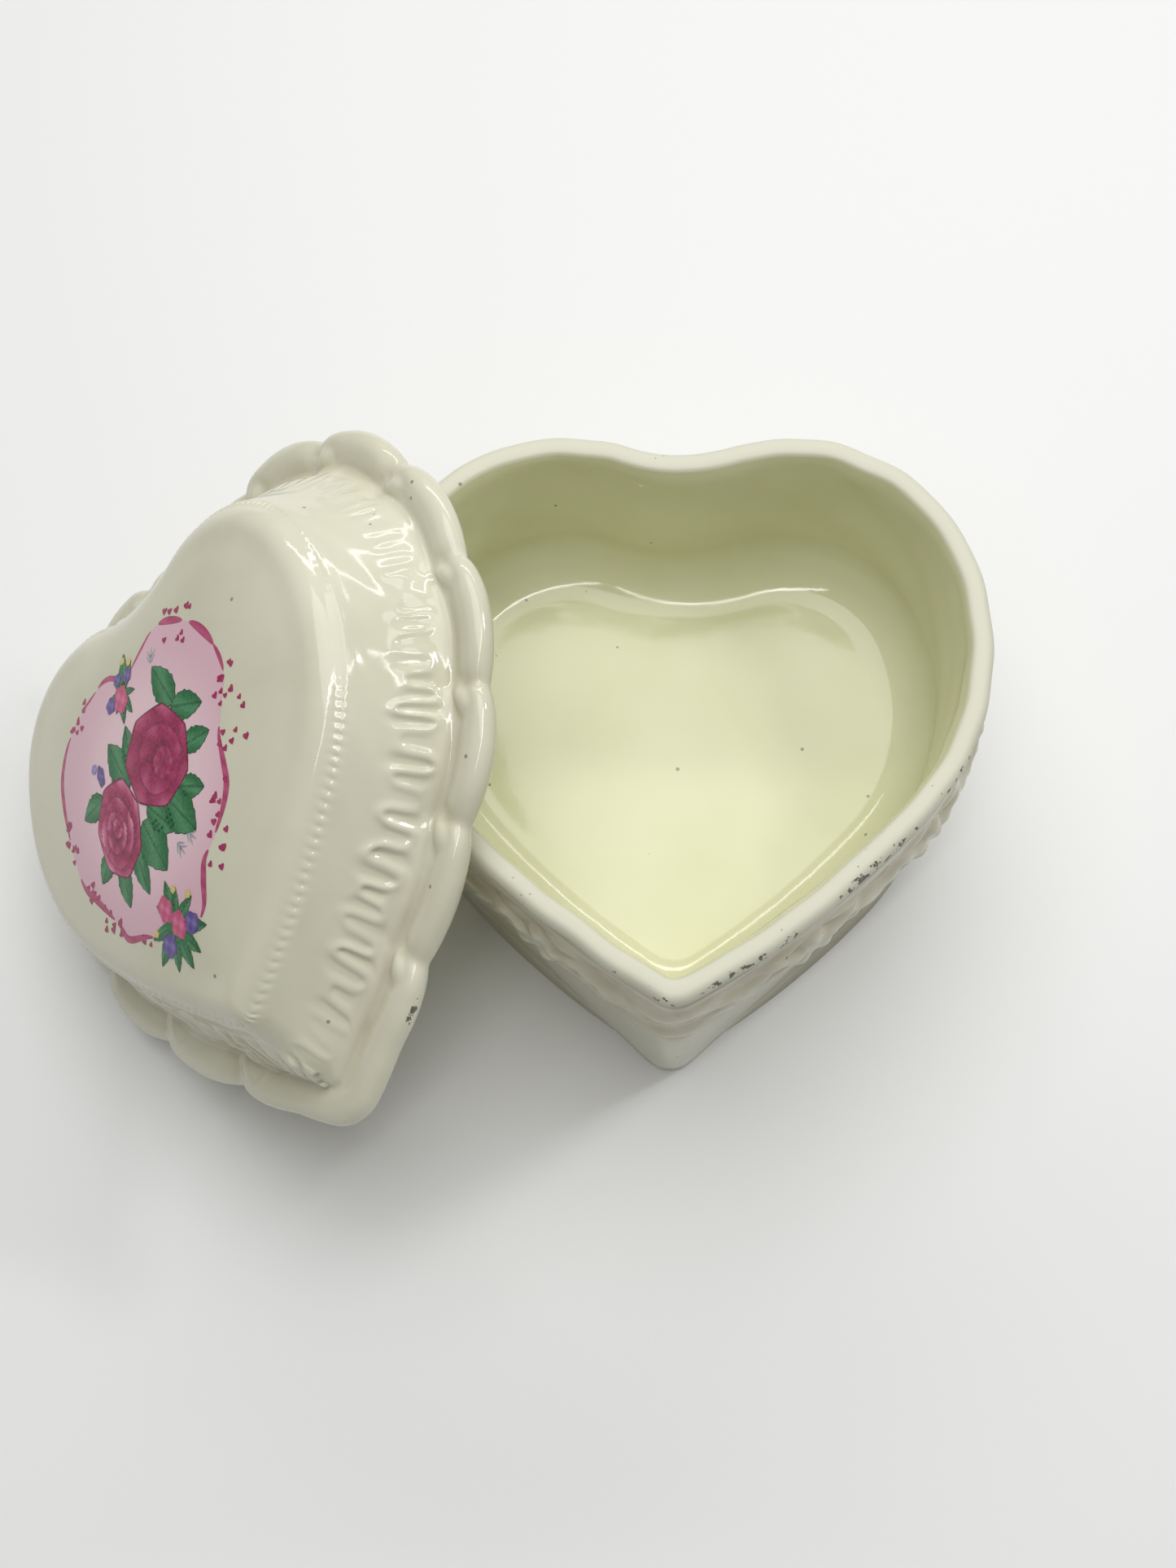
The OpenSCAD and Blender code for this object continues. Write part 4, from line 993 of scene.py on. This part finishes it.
def decal():
    """The pink field, its border, and the flowers over them."""
    material = print_material()

    def field_paint(points):
        return tint(PINK, PINK_EDGE, smoothstep(12, 26, np.hypot(points[:, 0] + 2, points[:, 1] + 9)))

    field = Print("decal_field")
    field.patch(BORDER, 1, field_paint, 1.0)
    field.finish(material)

    border = Print("decal_border")
    for first, last, width in RIBBONS:
        ribbon(border, first, last, width)
    scatter = np.random.default_rng(4)
    for begin, end, count, stray in HEARTS:
        for f in np.linspace(0, 1, count):
            spot = np.array(begin) * (1 - f) + np.array(end) * f + scatter.normal(0, stray, 2)
            tiny_heart(border, spot, scatter.uniform(0.55, 0.8), scatter.uniform(-0.5, 0.5))
    border.finish(material)

    flowers = Print("decal_flowers")
    for tip, root, width in LEAVES:
        leaf(flowers, tip, root, width, 3)
    rose(flowers, (2.2, -6.6), 9.2, 9.6, 0.5, FULL_ROSE, 0.4, 3)
    rose(flowers, (-12.6, -12.8), 6.9, 9.3, -0.15, OPEN_ROSE, 1.15, 8)
    bloom(flowers, (-14.4, -1.4), 1.1, BLOOM, BLOOM_PALE, 6, 1.9)
    bloom(flowers, (-16, 0.9), 0.9, BLOOM_PALE, BLOOM_PALEST, 6)
    for root, turn in SPRIGS:
        sprig(flowers, root, turn)
    for parts in POSIES:
        posy(flowers, *parts)
    flowers.finish(material)


# ---------- build
# clean, warm, the inside's two, and worn bare
BOWL_GLAZE = [(214, 212, 190), (205, 203, 178), (217, 217, 182), (209, 209, 170), (212, 211, 191)]
LID_GLAZE = [(218, 216, 194), (209, 207, 183), (218, 216, 186), (206, 204, 172), (222, 221, 204)]

base = base_piece()
base.data.materials.append(glaze("glazed_bowl", BOWL_GLAZE, 0.07))
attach(base, "base")
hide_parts("base_bowl")

lid = lid_piece()
lid.data.materials.append(glaze("glazed_lid", LID_GLAZE, 0.08))
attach(lid, "lid")
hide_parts("lid_shell")

decal()
movement_materials()


# ---------- floor, light and camera
def stage():
    """A wide pale floor."""
    corners = 2400 * np.array([(-1, -1, 0), (1, -1, 0), (1, 1, 0), (-1, 1, 0)])
    mesh = smooth_mesh("floor", corners, [(0, 1, 2, 3)])
    g = Graph("floor")
    g.set(Base_Color=(0.86, 0.86, 0.85, 1), Roughness=0.7)
    mesh.materials.append(g.material)
    linked("floor", mesh)


def area_light(name, at, wide, high, power):
    """An oval light that faces the box."""
    light = bpy.data.lights.new(name, "AREA")
    light.shape, light.size, light.size_y, light.energy = "ELLIPSE", wide, high, power
    thing = linked(name, light)
    thing.location = at
    thing.rotation_euler = (Vector((-0.02, -0.02, 0.03)) - Vector(at)).to_track_quat("-Z", "Y").to_euler()


def lights():
    """A dim even room, two long strips for the crisp gleams, a small lamp and a soft panel above."""
    world = bpy.data.worlds.new("studio")
    world.use_nodes = True
    background = world.node_tree.nodes["Background"]
    background.inputs["Color"].default_value = (1, 1, 1, 1)
    background.inputs["Strength"].default_value = 0.2
    bpy.context.scene.world = world
    area_light("ceiling", (0.05, -0.1, 0.74), 0.9, 0.045, 1.1)
    area_light("window", (-0.03, 0.56, 0.48), 0.8, 0.06, 1.1)
    area_light("lamp", (0.44, 0.2, 0.52), 0.12, 0.12, 0.85)
    area_light("soft_top", (-0.06, 0.16, 0.8), 0.7, 0.7, 3.1)


def camera():
    """Looks down from 70 degrees at the front, turned and rolled as the photograph was taken."""
    elevation, azimuth, roll = np.radians([70, 5.24, -4.24])
    turned = Matrix.Rotation(azimuth, 4, "Z") @ Matrix.Rotation(math.pi / 2 - elevation, 4, "X")
    target, back_off = Matrix.Translation((-0.01504, -0.02808, 0.064)), Matrix.Translation((0, 0, 0.3076))
    data = bpy.data.cameras.new("camera")
    data.sensor_fit, data.sensor_height, data.sensor_width, data.lens = "VERTICAL", 36, 36, 41.75
    data.clip_start = 0.01
    thing = linked("camera", data)
    thing.matrix_world = target @ turned @ Matrix.Rotation(roll, 4, "Z") @ back_off
    bpy.context.scene.camera = thing


stage()
lights()
camera()
bpy.context.scene.view_settings.view_transform = "Standard"
